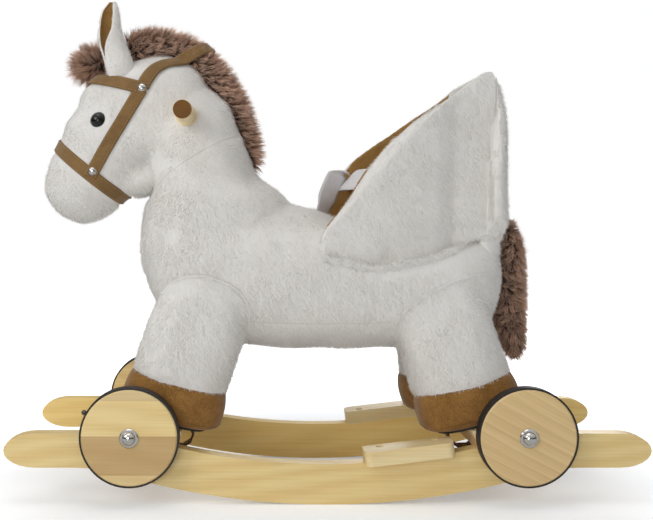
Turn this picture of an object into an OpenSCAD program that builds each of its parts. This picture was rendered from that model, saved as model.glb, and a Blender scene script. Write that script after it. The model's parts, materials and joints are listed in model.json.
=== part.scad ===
// Plush ride-on horse on wooden rockers, with four wheels beside its hooves.
// +X points to the nose, +Y to the horse's left and +Z up.
// The origin is the middle of the rockers, on the floor.

/* [Rockers] */
// Length of a rocker from tip to tip
rocker_len = 740; // [700:5:800]
// Thickness of a rocker plank
rocker_t = 18; // [14:1:22]
// Depth of the bow between its two arcs
rocker_h = 46; // [40:1:52]
// Radius of the underside of the bow
rocker_r = 850; // [820:10:900]
// Distance between the middle planes of the two rockers
rocker_track = 202; // [196:1:216]
// Height of the underside of a tip above the floor
tip_rise = 42; // [39:1:45]
// Height of a tip
tip_h = 39; // [34:1:42]
// Length of the rounded end of a tip
tip_round = 36; // [24:1:44]
// Distance of the strap stud from the end of the tip
stud_inset = 57; // [45:1:60]
// Radius of the strap stud
stud_r = 3.5; // [2.5:0.5:5]

/* [Footrests] */
// Length of a footrest
rest_len = 102; // [90:1:115]
// Width of a footrest
rest_w = 31; // [28:1:40]
// Thickness of a footrest
rest_t = 17; // [13:1:20]
// Distance of a footrest's middle behind the middle of the rockers
rest_back = 94; // [88:1:100]
// Depth to which a footrest is let into the rocker
rest_housing = 0.4; // [0.2:0.1:1]
// Radius of the outer corners of a footrest
rest_corner = 9; // [4:1:12]
// Distance between the two screws of a footrest
rest_screw_gap = 63; // [50:1:70]

/* [Cross bars] */
// Distance between the front and the rear axle
wheelbase = 448; // [436:2:460]
// Width of a cross bar along the rocker
bar_w = 78; // [70:1:84]
// Thickness of a cross bar
bar_t = 16; // [14:0.5:20]
// Depth to which a cross bar is let into the rockers
bar_housing = 4.5; // [3:0.5:6]
// Distance of the axle from the middle of the bar, along the slope
axle_ahead = 16; // [12:1:20]
// Height of the axle above the underside of the bar
axle_up = 7; // [6:0.5:9]
// Thickness of the board under the hooves
board_t = 8; // [6:0.5:12]
// Distance of a hoof board's ends inside the ends of its bar
board_inset = 2; // [0:0.5:4]
// Distance between the two screws at one end of a bar
bar_screw_gap = 58; // [54:1:62]

/* [Screws] */
// Radius of a screw's shank
screw_r = 2; // [1.5:0.25:2.5]
// Radius of a screw's head
screw_head_r = 4.4; // [3.5:0.1:5]
// Height of a screw's head
screw_head_h = 2.6; // [2:0.2:3.5]
// Depth of a screw in the rocker
screw_grip = 22; // [15:1:26]
// Depth at which a footrest's screw heads lie below its top
rest_screw_sink = 3; // [2:0.5:5]

/* [Wheels] */
// Radius of the wooden disc
wheel_r = 54; // [50:0.5:58]
// Thickness of the wooden disc
wheel_t = 15; // [12:0.5:18]
// Thickness of the rubber tyre
tyre_t = 2.2; // [1.5:0.1:4]
// Gap between a wheel and the rocker beside it
wheel_gap = 6; // [4:0.5:9]
// Radius of the steel axle
axle_r = 4; // [3:0.25:5]
// Radial running clearance of a wheel on its axle
axle_fit = 0.06; // [0.02:0.01:0.09]
// Radius of a spacer washer
washer_r = 9; // [7:0.5:12]
// Running gap on each side of a wheel
side_gap = 0.3; // [0.2:0.1:0.6]
// Radius of the chrome axle cap
cap_r = 10.8; // [8:0.2:13]
// Height of the chrome axle cap
cap_h = 8; // [6:0.5:11]

/* [Hooves and legs] */
// Distance of a leg's middle from the horse's middle plane
leg_y = 61; // [58:1:64]
// Width of a leg
leg_w = 92; // [84:1:96]
// Length of a leg's section, front to back
leg_len = 114; // [104:1:120]
// Height of a leg from the top of the hoof to its rounded end
leg_h = 126; // [118:1:134]
// Distance of a front leg's middle behind the middle of its bar
front_leg_back = 20; // [14:1:26]
// Distance of a rear leg's middle ahead of the middle of its bar
rear_leg_ahead = 29; // [22:1:32]
// Distance by which a leg's top leans towards the middle of the horse
leg_lean = 8; // [0:1:14]
// Height of a hoof
hoof_h = 47; // [40:1:54]
// Length by which a hoof stands proud of the leg at each end
hoof_flare = 3.5; // [2:0.5:7]
// Thickness of the black sole under a hoof
sole_t = 2.5; // [1.5:0.5:5]
// Thickness of a square leg post
post_w = 30; // [24:1:36]

/* [Body] */
// Height of the belly above the top of the hoof boards
leg_clear = 81; // [76:1:86]
// Distance of the chest ahead of the middle of the rockers
chest_x = 225; // [218:1:232]
// Distance of the rump behind the middle of the rockers
rump_back = 215; // [209:1:221]
// Width of the body
body_w = 196; // [186:1:204]
// Thickness of the frame's plywood
ply_t = 18; // [12:1:21]
// Height of the spine board above the belly
spine_up = 66; // [60:1:72]
// Width of the spine board
spine_w = 150; // [136:2:156]
// Thickness of the board in the seat back
back_board_t = 12; // [9:1:15]

/* [Neck and head] */
// Width of the neck at its seam with the head
neck_w = 140; // [130:1:150]
// Width of the head at the eyes
head_w = 128; // [118:1:138]
// Radius of an eye
eye_r = 9; // [7:0.5:11]
// Height of an ear above its root
ear_h = 92; // [80:1:100]
// Distance of an ear from the middle plane
ear_y = 42; // [36:1:46]
// Width of the mane
mane_w = 56; // [44:1:64]
// Radius of the handle's grips
grip_r = 11; // [9:0.5:13]
// Radius of the handle's middle stretch
handle_mid_r = 12.5; // [10.5:0.5:15]
// Length of the handle
handle_len = 266; // [240:2:280]
// Length of the handle's middle stretch
handle_mid_len = 136; // [130:1:146]
// Thickness of the brown discs on the handle's ends
handle_disc_t = 2; // [1:0.5:4]

/* [Bridle] */
// Width of a bridle strap
strap_w = 14; // [10:0.5:18]
// Thickness of a bridle strap
strap_t = 2.5; // [1.5:0.25:4]
// Radius of a rivet
rivet_r = 5; // [3.5:0.25:6.5]

/* [Seat] */
// Height of the seat back's top above the belly
back_top = 320; // [300:1:336]
// Thickness of the seat back
back_t = 32; // [28:1:40]
// Thickness of a seat wing
wing_t = 28; // [22:1:32]
// Thickness of the tan seat lining
lining_t = 6; // [4:0.5:9]
// Height of the cushion's crown above the belly
cushion_top = 160; // [154:1:168]
// Width of the belt webbing
belt_w = 34; // [26:1:40]
// Thickness of the belt webbing
belt_t = 2.2; // [1.5:0.1:3]
// Distance by which the waist belt bows forward
belt_bow = 38; // [28:1:46]

/* [Hidden] */
$fn = 64;
pine = "#dfc48a";
plush = "#e9e6e1";
tan_cloth = "#8f6b3c";
brown_fur = "#6b5043";
black_rubber = "#1e1a18";
steel = "#b8b8b8";
webbing = "#dedede";
dark_red = "#4a1a18";
ply = "#caa878";
chrome = "#d8d8d8";
// Reach of a cutting block, longer than the piece it cuts
far = 400;
// Gap around a piece that is slipped into another
fit = 0.3;

// Places worked out from the sizes above
rocker_out = rocker_track / 2 + rocker_t / 2;
rocker_in = rocker_track / 2 - rocker_t / 2;
top_r = rocker_r - rocker_h;
tip_top = tip_rise + tip_h;
tip_mid = tip_rise + tip_h / 2;
half_len = rocker_len / 2;
wheel_x = wheelbase / 2;
rump_x = -rump_back;

// Height of the rocker's underside and top over a distance x from its middle
function arc_under(x) = rocker_r - sqrt(rocker_r * rocker_r - x * x);
function arc_top(x) = rocker_r - sqrt(top_r * top_r - x * x);

// A cross bar lies square to the rocker's top arc at its own middle
bar_tilt = asin((wheel_x - axle_ahead) / top_r);
bar_x = wheel_x - axle_ahead * cos(bar_tilt) + axle_up * sin(bar_tilt);
bar_z = arc_top(bar_x) - bar_housing;
axle_z = bar_z + axle_ahead * sin(bar_tilt) + axle_up * cos(bar_tilt);
board_top = bar_t + board_t;
hoof_z = board_top + sole_t;
leg_z = hoof_z + hoof_h;
belly_z = bar_z + board_top + leg_clear;
wheel_in = rocker_out + wheel_gap;
wheel_out = wheel_in + wheel_t;
axle_half = wheel_out + side_gap + cap_h / 2;
rest_tilt = asin(rest_back / top_r);
rest_z = arc_top(rest_back) - rest_housing;

// Smooth curve from height a, with slope s, to the level height b over a run
function ease(a, s, b, run, t) =
  a * (2 * t * t * t - 3 * t * t + 1) + run * s * (t * t * t - 2 * t * t + t)
  + b * (3 * t * t - 2 * t * t * t);

// One half of the rocker's outline, from its middle out along the underside and back along the top
under_level = half_len - tip_round - 42;
under_end = under_level - 47;
top_level = half_len - tip_round - 48;
top_end = top_level - 86;
steps = 14;
tip_x = half_len - tip_round;
half_rocker = concat(
  [for (i = [0 : steps]) let (x = under_end * i / steps) [x, arc_under(x)]],
  [for (i = [1 : 6]) let (t = i / 6, run = under_level - under_end)
    [under_end + run * t, ease(arc_under(under_end), under_end / rocker_r, tip_rise, run, t)]],
  [for (i = [0 : 12]) let (a = -90 + 15 * i)
    [tip_x + tip_round * cos(a), tip_mid + tip_h / 2 * sin(a)]],
  [for (i = [6 : -1 : 0]) let (t = i / 6, run = top_level - top_end)
    [top_end + run * t, ease(arc_top(top_end), top_end / top_r, tip_top, run, t)]],
  [for (i = [steps - 1 : -1 : 1]) let (x = top_end * i / steps) [x, arc_top(x)]],
  [[0, rocker_h]]
);
rocker_outline = concat(
  half_rocker,
  [for (i = [len(half_rocker) - 2 : -1 : 1]) [-half_rocker[i][0], half_rocker[i][1]]]
);

// Curved skins: each station is [x, z, angle of its section, half width, reach ahead, reach behind]
function spow(v, e) = sign(v) * pow(abs(v), e);
function oval(w, ahead, behind, n, e) =
  [for (i = [0 : n - 1]) let (t = 360 * i / n)
    [w * spow(cos(t), e), (sin(t) >= 0 ? ahead : behind) * spow(sin(t), e)]];
function ring(s, n, e, grow) =
  [for (p = oval(s[3] + grow, s[4] + grow, s[5] + grow, n, e))
    [s[0] + p[1] * cos(s[2]), p[0], s[1] + p[1] * sin(s[2])]];
function turns_back(st) =
  sin(st[0][2]) * (st[1][0] - st[0][0]) - cos(st[0][2]) * (st[1][1] - st[0][1]) < 0;

// Closed skin over rings of equal count, with a fan at each end
module skin(rings, heart_a, heart_b, flip) {
  n = len(rings[0]);
  m = len(rings);
  points = concat([for (r = rings) each r], [heart_a, heart_b]);
  walls = [for (i = [0 : m - 2], j = [0 : n - 1])
    let (k = (j + 1) % n, a = i * n + j, b = i * n + k, c = a + n, d = b + n)
    each [[a, c, d], [a, d, b]]];
  ends = [for (j = [0 : n - 1]) let (k = (j + 1) % n)
    each [[m * n, j, k], [m * n + 1, (m - 1) * n + k, (m - 1) * n + j]]];
  faces = concat(walls, ends);
  polyhedron(points, flip ? [for (f = faces) [f[2], f[1], f[0]]] : faces, convexity = 8);
}

module loft(st, n = 18, e = 1, grow = 0) {
  last = st[len(st) - 1];
  skin([for (s = st) ring(s, n, e, grow)], [st[0][0], 0, st[0][1]], [last[0], 0, last[1]],
    turns_back(st));
}

// Outline with its corners cut round, k times over
function rounded(p, k) = k == 0 ? p : rounded(
  [for (i = [0 : len(p) - 1]) let (a = p[i], b = p[(i + 1) % len(p)])
    each [a * 0.75 + b * 0.25, a * 0.25 + b * 0.75]], k - 1);
function middle(p) = [for (i = [0, 1]) let (v = [for (q = p) q[i]]) (min(v) + max(v)) / 2];
function drawn_in(p, d) = let (c = middle(p))
  [for (q = p) let (r = norm(q - c)) c + (q - c) * (1 - d / r)];

// Outline of a strap of thickness t along a path of points
function side(p, d) = [for (i = [0 : len(p) - 1])
  let (a = p[max(i - 1, 0)], b = p[min(i + 1, len(p) - 1)], v = (b - a) / norm(b - a))
  p[i] + d * [-v[1], v[0]]];
function strip(p, t) = concat(side(p, t / 2), [for (i = [len(p) - 1 : -1 : 0]) side(p, -t / 2)[i]]);

// Placing: extrude an outline of [x, z] over the width from y0 to y1
module wall_xz(y0, y1) {
  translate([0, y1, 0]) rotate([90, 0, 0]) linear_extrude(y1 - y0) children();
}
module on_side(side) {
  mirror([0, side > 0 ? 0 : 1, 0]) children();
}
module both_sides() {
  for (side = [1, -1]) on_side(side) children();
}
// The slanted seat of the cross bar at the front (end = 1) or the rear (end = -1)
module at_bar(end) {
  mirror([end > 0 ? 0 : 1, 0, 0]) translate([bar_x, 0, bar_z]) rotate([0, -bar_tilt, 0]) children();
}
module at_rest() {
  translate([-rest_back, 0, rest_z]) rotate([0, rest_tilt, 0]) children();
}
module at_chest() {
  translate([chest_x, 0, belly_z]) children();
}
module at_rump() {
  translate([rump_x, 0, belly_z]) children();
}
function leg_x(end) = end > 0 ? -front_leg_back : -rear_leg_ahead;

// Screws, as solids and as the holes they fill
module screw(length) {
  translate([0, 0, -length]) cylinder(r = screw_r, h = length);
  translate([0, 0, -screw_head_h]) cylinder(r = screw_head_r, h = screw_head_h);
}
module screw_pair(gap, length) {
  for (s = [-1, 1]) translate([s * gap / 2, 0, 0]) screw(length);
}
module rest_screws() {
  at_rest() translate([0, rocker_track / 2, rest_t - rest_screw_sink])
    screw_pair(rest_screw_gap, rest_t - rest_screw_sink + screw_grip);
}
module bar_screws(end) {
  at_bar(end) translate([0, rocker_track / 2, board_top])
    screw_pair(bar_screw_gap, board_top + screw_grip);
}

// Rockers and footrests
module bar_block(end, z0, z1, half_y) {
  at_bar(end) translate([-bar_w / 2, -half_y, z0]) cube([bar_w, 2 * half_y, z1 - z0]);
}
module rocker() {
  color(pine) difference() {
    wall_xz(rocker_in, rocker_out) polygon(rocker_outline);
    for (end = [-1, 1]) bar_block(end, 0, far, rocker_out + 1);
    at_rest() translate([-rest_len / 2, 0, 0]) cube([rest_len, far, far]);
    rest_screws();
    for (end = [-1, 1]) bar_screws(end);
  }
}
module footrest() {
  arc = [for (i = [0 : 6]) 15 * i];
  c = rest_len / 2 - rest_corner;
  y = rest_w - rest_corner;
  outline = concat(
    [[-rest_len / 2, 0], [rest_len / 2, 0]],
    [for (a = arc) [c + rest_corner * cos(a), y + rest_corner * sin(a)]],
    [for (a = arc) [-c - rest_corner * sin(a), y + rest_corner * cos(a)]]
  );
  color(pine) difference() {
    at_rest() translate([0, rocker_in, 0]) linear_extrude(rest_t) polygon(outline);
    rest_screws();
    at_rest() translate([0, rocker_track / 2, rest_t - rest_screw_sink]) for (s = [-1, 1])
      translate([s * rest_screw_gap / 2, 0, -1]) cylinder(r = screw_head_r, h = rest_screw_sink + 2);
  }
}
module rocker_left() { rocker(); }
module rocker_right() { on_side(-1) rocker(); }
module footrest_left() { footrest(); }
module footrest_right() { on_side(-1) footrest(); }
module wood_screws() {
  color(steel) both_sides() {
    rest_screws();
    for (end = [-1, 1]) bar_screws(end);
  }
}

// Cross bars, hoof boards and axles
module along_axle() {
  translate([0, 0, axle_z]) rotate([-90, 0, 0]) children();
}
module axle(end) {
  translate([end * wheel_x, -axle_half, 0]) along_axle() cylinder(r = axle_r, h = 2 * axle_half);
}
module cross_bar(end) {
  color(pine) difference() {
    bar_block(end, 0, bar_t, rocker_out);
    axle(end);
    both_sides() bar_screws(end);
  }
}
module hoof_board(end) {
  color(pine) difference() {
    bar_block(end, bar_t, board_top, rocker_out - board_inset);
    both_sides() bar_screws(end);
  }
}
module cross_bar_front() { cross_bar(1); }
module cross_bar_rear() { cross_bar(-1); }
module hoof_board_front() { hoof_board(1); }
module hoof_board_rear() { hoof_board(-1); }
module axle_front() { color(steel) axle(1); }
module axle_rear() { color(steel) axle(-1); }

// Wheels: a wooden disc with eased edges, a thin tyre, a spacer washer and a chrome cap
module wheel_side(end, side) {
  on_side(side) translate([end * wheel_x, 0, 0]) children();
}
module wheel(end, side) {
  ease_edge = 1.5;
  color(pine) wheel_side(end, side) translate([0, wheel_in, 0]) along_axle() rotate_extrude() polygon([
    [axle_r + axle_fit, 0], [wheel_r, 0], [wheel_r, wheel_t - ease_edge],
    [wheel_r - ease_edge, wheel_t], [axle_r + axle_fit, wheel_t]
  ]);
}
module tyre(end, side) {
  color(black_rubber) wheel_side(end, side) translate([0, wheel_in, 0]) along_axle() rotate_extrude()
    translate([wheel_r, 0]) square([tyre_t, wheel_t - 1.5]);
}
module wheel_front_left() { wheel(1, 1); }
module wheel_front_right() { wheel(1, -1); }
module wheel_rear_left() { wheel(-1, 1); }
module wheel_rear_right() { wheel(-1, -1); }
module tyre_front_left() { tyre(1, 1); }
module tyre_front_right() { tyre(1, -1); }
module tyre_rear_left() { tyre(-1, 1); }
module tyre_rear_right() { tyre(-1, -1); }
module each_wheel() {
  for (end = [-1, 1], side = [-1, 1]) wheel_side(end, side) children();
}
module axle_washers() {
  washer_h = wheel_gap - side_gap;
  color(steel) each_wheel() translate([0, rocker_out, 0]) along_axle() difference() {
    cylinder(r = washer_r, h = washer_h);
    translate([0, 0, -1]) cylinder(r = axle_r, h = washer_h + 2);
  }
}
module axle_caps() {
  flange_h = 2;
  dome_r = cap_r - 3;
  dome_h = cap_h - flange_h;
  color(chrome) each_wheel() translate([0, wheel_out + side_gap, 0]) along_axle() difference() {
    rotate_extrude() polygon(concat(
      [[0, 0], [cap_r, 0], [cap_r, flange_h / 2], [cap_r - 1, flange_h]],
      [for (i = [0 : 8]) let (a = 90 * i / 8) [dome_r * cos(a), flange_h + dome_h * sin(a)]]
    ));
    translate([0, 0, -1]) cylinder(r = axle_r, h = cap_h / 2 + 1);
  }
}

// Studs on the inner faces of the tips, and dark red loops under the cross bars
module strap_studs() {
  color(steel) both_sides() for (end = [-1, 1])
    translate([end * (half_len - stud_inset), rocker_in, tip_mid]) rotate([90, 0, 0]) rotate_extrude()
      polygon([[0, 0], [stud_r, 0], [stud_r, 1], [stud_r * 0.7, 2.4], [0, 3]]);
}
module strap_loop(end) {
  loop_w = 20;
  loop_t = 2.5;
  b = -bar_w / 2;
  path = [[b, bar_t * 0.6], [b - 9, bar_t * 0.45], [b - 14, 0], [b - 13, -10], [b - 5, -19], [b + 8, -22],
    [b + 20, -17], [b + 26, -8], [b + 28, 0]];
  color(dark_red) at_bar(end) difference() {
    wall_xz(-loop_w / 2, loop_w / 2) polygon(strip(path, loop_t));
    translate([-bar_w / 2, -loop_w, 0]) cube([bar_w, 2 * loop_w, bar_t]);
  }
}
module strap_loop_front() { strap_loop(1); }
module strap_loop_rear() { strap_loop(-1); }

// Inner frame: leg posts, spine board, neck board and back board
spine_z = belly_z + spine_up;
module leg_post(end) {
  difference() {
    at_bar(end) translate([leg_x(end) - post_w / 2, leg_y - post_w / 2, board_top])
      cube([post_w, post_w, far]);
    translate([-far, -far, spine_z]) cube(2 * far);
  }
}
module leg_posts() {
  color(ply) both_sides() for (end = [-1, 1]) leg_post(end);
}
back_board_x = rump_x + 10;
spine_rear = back_board_x + back_board_t;
spine_front = chest_x - 56;
module spine_board() {
  color(ply) translate([spine_rear, -spine_w / 2, spine_z])
    cube([spine_front - spine_rear, spine_w, ply_t]);
}
handle_at = [-61, 274];
module neck_board() {
  spine_top = spine_up + ply_t;
  color(ply) difference() {
    at_chest() wall_xz(-ply_t / 2, ply_t / 2) polygon([
      [-150, spine_top], [-60, spine_top], [-30, handle_at[1] - 20], [-30, handle_at[1] + 20],
      [-50, handle_at[1] + 34], [-84, handle_at[1] + 28], [-98, handle_at[1] - 10]
    ]);
    handle();
  }
}
module back_board() {
  back_board_w = 110;
  color(ply) translate([back_board_x, -back_board_w / 2, spine_z])
    cube([back_board_t, back_board_w, belly_z + back_top - 40 - spine_z]);
}
module inner_frame() {
  leg_posts();
  spine_board();
  neck_board();
  back_board();
}

// Handle: one turned bar through the neck board, with a brown disc on each end
module handle_bar(r, length) {
  at_chest() translate([handle_at[0], -length / 2, handle_at[1]]) rotate([-90, 0, 0])
    cylinder(r = r, h = length);
}
module handle() {
  color(pine) {
    handle_bar(grip_r, handle_len);
    handle_bar(handle_mid_r, handle_mid_len);
  }
}
module handle_discs() {
  color("#7a5a34") both_sides() at_chest()
    translate([handle_at[0], handle_len / 2, handle_at[1]]) rotate([-90, 0, 0])
      cylinder(r = grip_r - 0.6, h = handle_disc_t);
}

// Hooves and legs, in the slanted frame of their cross bar
module on_leg(end, side) {
  on_side(side) at_bar(end) translate([leg_x(end), leg_y, 0]) children();
}
module section_loft(st, e, lean = 0) {
  z0 = st[0][0];
  run = st[len(st) - 1][0] - z0;
  loft([for (s = st) [-lean * (s[0] - z0) / run, s[0], 0, s[1], s[2], s[2]]], n = 20, e = e);
}
module hoof_form() {
  w = leg_w / 2;
  l = leg_len / 2 + hoof_flare;
  section_loft([[hoof_z, w - 8, l - 14], [hoof_z + 3, w - 2, l - 5], [hoof_z + 8, w, l],
    [hoof_z + hoof_h * 0.5, w + 1, l + 1], [hoof_z + hoof_h * 0.88, w, l - 2], [leg_z, w - 2, l - 5]], 0.7);
}
module leg_form() {
  w = leg_w / 2;
  l = leg_len / 2;
  section_loft([[leg_z, w - 3, l - 2], [leg_z + 8, w, l], [leg_z + leg_h * 0.4, w, l - 1],
    [leg_z + leg_h * 0.7, w - 2, l - 4], [leg_z + leg_h * 0.9, w - 9, l - 14],
    [leg_z + leg_h, w - 26, l - 32]], 0.8, leg_lean);
}
module sole_form() {
  w = leg_w / 2 - 9;
  l = leg_len / 2 + hoof_flare - 15;
  section_loft([[board_top, w, l], [hoof_z, w, l]], 0.7);
}
module hoof(end, side) {
  color("#8a6435") difference() {
    on_leg(end, side) hoof_form();
    leg_posts();
  }
}
module leg(end, side) {
  color(plush) difference() {
    on_leg(end, side) leg_form();
    body_form();
    leg_posts();
  }
}
module hoof_soles() {
  color(black_rubber) difference() {
    for (end = [-1, 1], side = [-1, 1]) on_leg(end, side) sole_form();
    leg_posts();
  }
}
module hoof_front_left() { hoof(1, 1); }
module hoof_front_right() { hoof(1, -1); }
module hoof_rear_left() { hoof(-1, 1); }
module hoof_rear_right() { hoof(-1, -1); }
module leg_front_left() { leg(1, 1); }
module leg_front_right() { leg(1, -1); }
module leg_rear_left() { leg(-1, 1); }
module leg_rear_right() { leg(-1, -1); }

// Body: stations from the rump to the chest, heights above the belly
module body_form() {
  w = body_w / 2;
  translate([0, 0, belly_z]) loft([
    [rump_x, 95, 90, w - 64, 38, 34], [rump_x + 8, 88, 90, w - 34, 54, 58],
    [rump_x + 34, 78, 90, w - 12, 60, 76], [rump_x + 84, 72, 90, w - 1, 62, 77],
    [rump_x + 150, 72, 90, w, 64, 78], [chest_x - 222, 74, 90, w - 1, 86, 80],
    [chest_x - 158, 80, 90, w - 4, 96, 85], [chest_x - 98, 88, 90, w - 8, 92, 85],
    [chest_x - 48, 100, 90, w - 18, 80, 76], [chest_x - 16, 112, 90, w - 38, 62, 58],
    [chest_x, 122, 90, w - 66, 40, 36]
  ], n = 22, e = 0.85);
}
module body() {
  color(plush) difference() {
    body_form();
    inner_frame();
  }
}

// Neck and head: stations from the chest up to the seam, on to the crown, and down to the muzzle
neck_seam = [-68, 218, -30, neck_w / 2, 62, 72];
module neck_form() {
  w = neck_w / 2;
  at_chest() loft([[-104, 128, -8, w + 14, 96, 98], [-94, 163, -10, w + 14, 92, 94],
    [-80, 188, -16, w + 8, 80, 70], neck_seam], n = 20, e = 0.9);
}
module nape_form(grow = 0) {
  w = neck_w / 2;
  at_chest() loft([neck_seam, [-54, 253, -30, w - 4, 60, 70], [-40, 283, -25, w - 12, 50, 62],
    [-31, 306, -20, w - 35, 30, 35]], n = 20, e = 0.9, grow = grow);
}
module skull_form(grow = 0) {
  w = head_w / 2;
  at_chest() loft([[-26, 352, 0, w - 44, 20, 22], [-21, 340, 2, w - 20, 45, 48],
    [-16, 318, 6, w - 6, 74, 72], [-12, 290, 10, w, 92, 90], [-2, 260, 18, w, 92, 70],
    [30, 236, 30, w - 4, 74, 46], [52, 214, 40, w - 9, 62, 50], [72, 188, 36, w - 12, 50, 46],
    [84, 168, 30, w - 20, 40, 36], [88, 154, 25, w - 40, 20, 20]], n = 20, e = 0.95, grow = grow);
}
module head_form(grow = 0) {
  skull_form(grow);
  nape_form(grow);
}
module neck() {
  color(plush) difference() {
    neck_form();
    body_form();
    neck_board();
  }
}
eye_at = [44, 272];
eye_y = head_w / 2 - 11;
eye_turn = 27;
eye_sink = 4;
module at_eye() {
  at_chest() translate([eye_at[0], eye_y, eye_at[1]]) rotate([0, 0, -eye_turn])
    rotate([-90, 0, 0]) children();
}
module eyes() {
  dome_h = 6;
  color("black") both_sides() at_eye() rotate_extrude() polygon(concat(
    [[0, -eye_sink], [eye_r, -eye_sink]],
    [for (i = [0 : 8]) let (a = 90 * i / 8) [eye_r * cos(a), dome_h * sin(a)]]
  ));
}
module eye_pockets() {
  both_sides() at_eye() translate([0, 0, -eye_sink]) cylinder(r = eye_r + fit, h = 4 * eye_r);
}
module head() {
  color(plush) difference() {
    head_form();
    neck_form();
    body_form();
    neck_board();
    handle();
    eye_pockets();
  }
}
module ear_form() {
  root_z = 322;
  at_chest() translate([0, ear_y, 0]) loft([
    [20, root_z, 0, 10, 14, 14], [23, root_z + ear_h * 0.24, 0, 14, 16, 16],
    [30, root_z + ear_h * 0.45, 0, 16, 15, 15], [35, root_z + ear_h * 0.68, 0, 14, 11, 11],
    [34, root_z + ear_h * 0.87, 0, 9, 10, 10], [30, root_z + ear_h, 0, 2, 4, 4]
  ], n = 14);
}
module ear(side) {
  color(plush) difference() {
    on_side(side) ear_form();
    head_form();
  }
}
module ear_left() { ear(1); }
module ear_right() { ear(-1); }

// Fur pieces, as their outer shapes
module mane_form(grow = 0) {
  w = mane_w / 2;
  at_chest() loft([[26, 350, 70, w - 18, 12, 10], [10, 352, 80, w - 4, 34, 16], [-16, 354, 92, w, 38, 18],
    [-46, 347, 108, w, 38, 18], [-76, 327, 125, w, 36, 18], [-102, 296, 142, w - 1, 32, 16],
    [-120, 262, 152, w - 3, 27, 16], [-133, 232, 158, w - 8, 22, 14], [-140, 214, 160, w - 20, 8, 8]],
    n = 16, grow = grow);
}
module mane() {
  color(brown_fur) difference() {
    mane_form();
    head_form();
    neck_form();
    body_form();
    both_sides() ear_form();
  }
}
module forelock() {
  color(brown_fur) difference() {
    at_chest() loft([[36, 330, 90, 8, 8, 8], [46, 338, 90, 22, 22, 18], [60, 345, 90, 27, 26, 24],
      [76, 345, 90, 24, 22, 22], [86, 342, 90, 8, 8, 8]], n = 14);
    head_form(strap_t);
    mane_form();
    both_sides() ear_form();
  }
}
module tail() {
  color(brown_fur) difference() {
    at_rump() loft([[-2, 148, 0, 8, 8, 8], [-12, 136, 0, 18, 14, 16], [-24, 108, 0, 22, 17, 19],
      [-28, 63, 0, 24, 18, 20], [-31, 18, 0, 23, 17, 18], [-33, -10, 0, 15, 11, 12],
      [-34, -22, 0, 4, 4, 4]], n = 14);
    body_form();
    seat_back_form();
  }
}

// Seat: padded back, two wings, tan lining and cushion
wing_outer = body_w / 2;
wing_inner = wing_outer - wing_t;
wing_outline = [[229, 125], [191, 168], [168, 211], [128, 255], [82, 286], [47, 306], [24, back_top - 6],
  [11, back_top - 18], [5, 232], [4, 197], [7, 128], [14, 93], [114, 83], [214, 93]];
module pad_xz(outline, y0, y1, crown) {
  plans = [for (d = [crown, 0, 0, crown]) drawn_in(outline, d)];
  ys = [y0, y0 + crown * 0.7, y1 - crown * 0.7, y1];
  c = middle(outline);
  rings = [for (i = [0 : 3]) [for (p = plans[i]) [p[0], ys[i], p[1]]]];
  skin(rings, [c[0], y0, c[1]], [c[0], y1, c[1]], true);
}
module seat_back_form() {
  w = body_w / 2;
  at_rump() loft([
    [2, 200, 90, w - 10, back_top - 210, 100], [9, 200, 90, w, back_top - 200, 110],
    [back_t - 8, 200, 90, w, back_top - 200, 110], [back_t, 200, 90, w - 9, back_top - 210, 100]
  ], n = 28, e = 0.4);
}
module seat_back() {
  color(plush) difference() {
    seat_back_form();
    body_form();
    back_board();
  }
}
module wing_form() {
  at_rump() pad_xz(rounded(wing_outline, 1), wing_inner, wing_outer, 9);
}
module seat_wing(side) {
  seam = back_t - 8;
  color(plush) difference() {
    on_side(side) wing_form();
    at_rump() translate([seam - far, -far, 0]) cube([far, 2 * far, far]);
    seat_back_form();
    body_form();
  }
}
module seat_wing_left() { seat_wing(1); }
module seat_wing_right() { seat_wing(-1); }
seat_half = wing_inner - lining_t;
module seat_lining() {
  color(tan_cloth) difference() {
    union() {
      both_sides() at_rump() pad_xz(drawn_in(rounded(wing_outline, 1), 5), seat_half, wing_inner, 2);
      at_rump() translate([back_t, fit - seat_half, 100])
        cube([lining_t, 2 * (seat_half - fit), back_top - 112]);
    }
    at_rump() translate([back_t - far, -far, 0]) cube([far, 2 * far, far]);
    body_form();
  }
}
module cushion_form() {
  w = seat_half - fit;
  rise = cushion_top - 140;
  at_rump() loft([[back_t + lining_t, 140, 90, w - 8, rise - 8, 12],
    [back_t + 14, 140, 90, w, rise - 2, 16], [114, 140, 90, w, rise, 20],
    [184, 142, 90, w - 3, rise - 4, 20], [204, 144, 90, w - 14, rise - 12, 10]], n = 20, e = 0.6);
}
module seat_cushion() {
  color(tan_cloth) difference() {
    cushion_form();
    body_form();
  }
}

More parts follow.
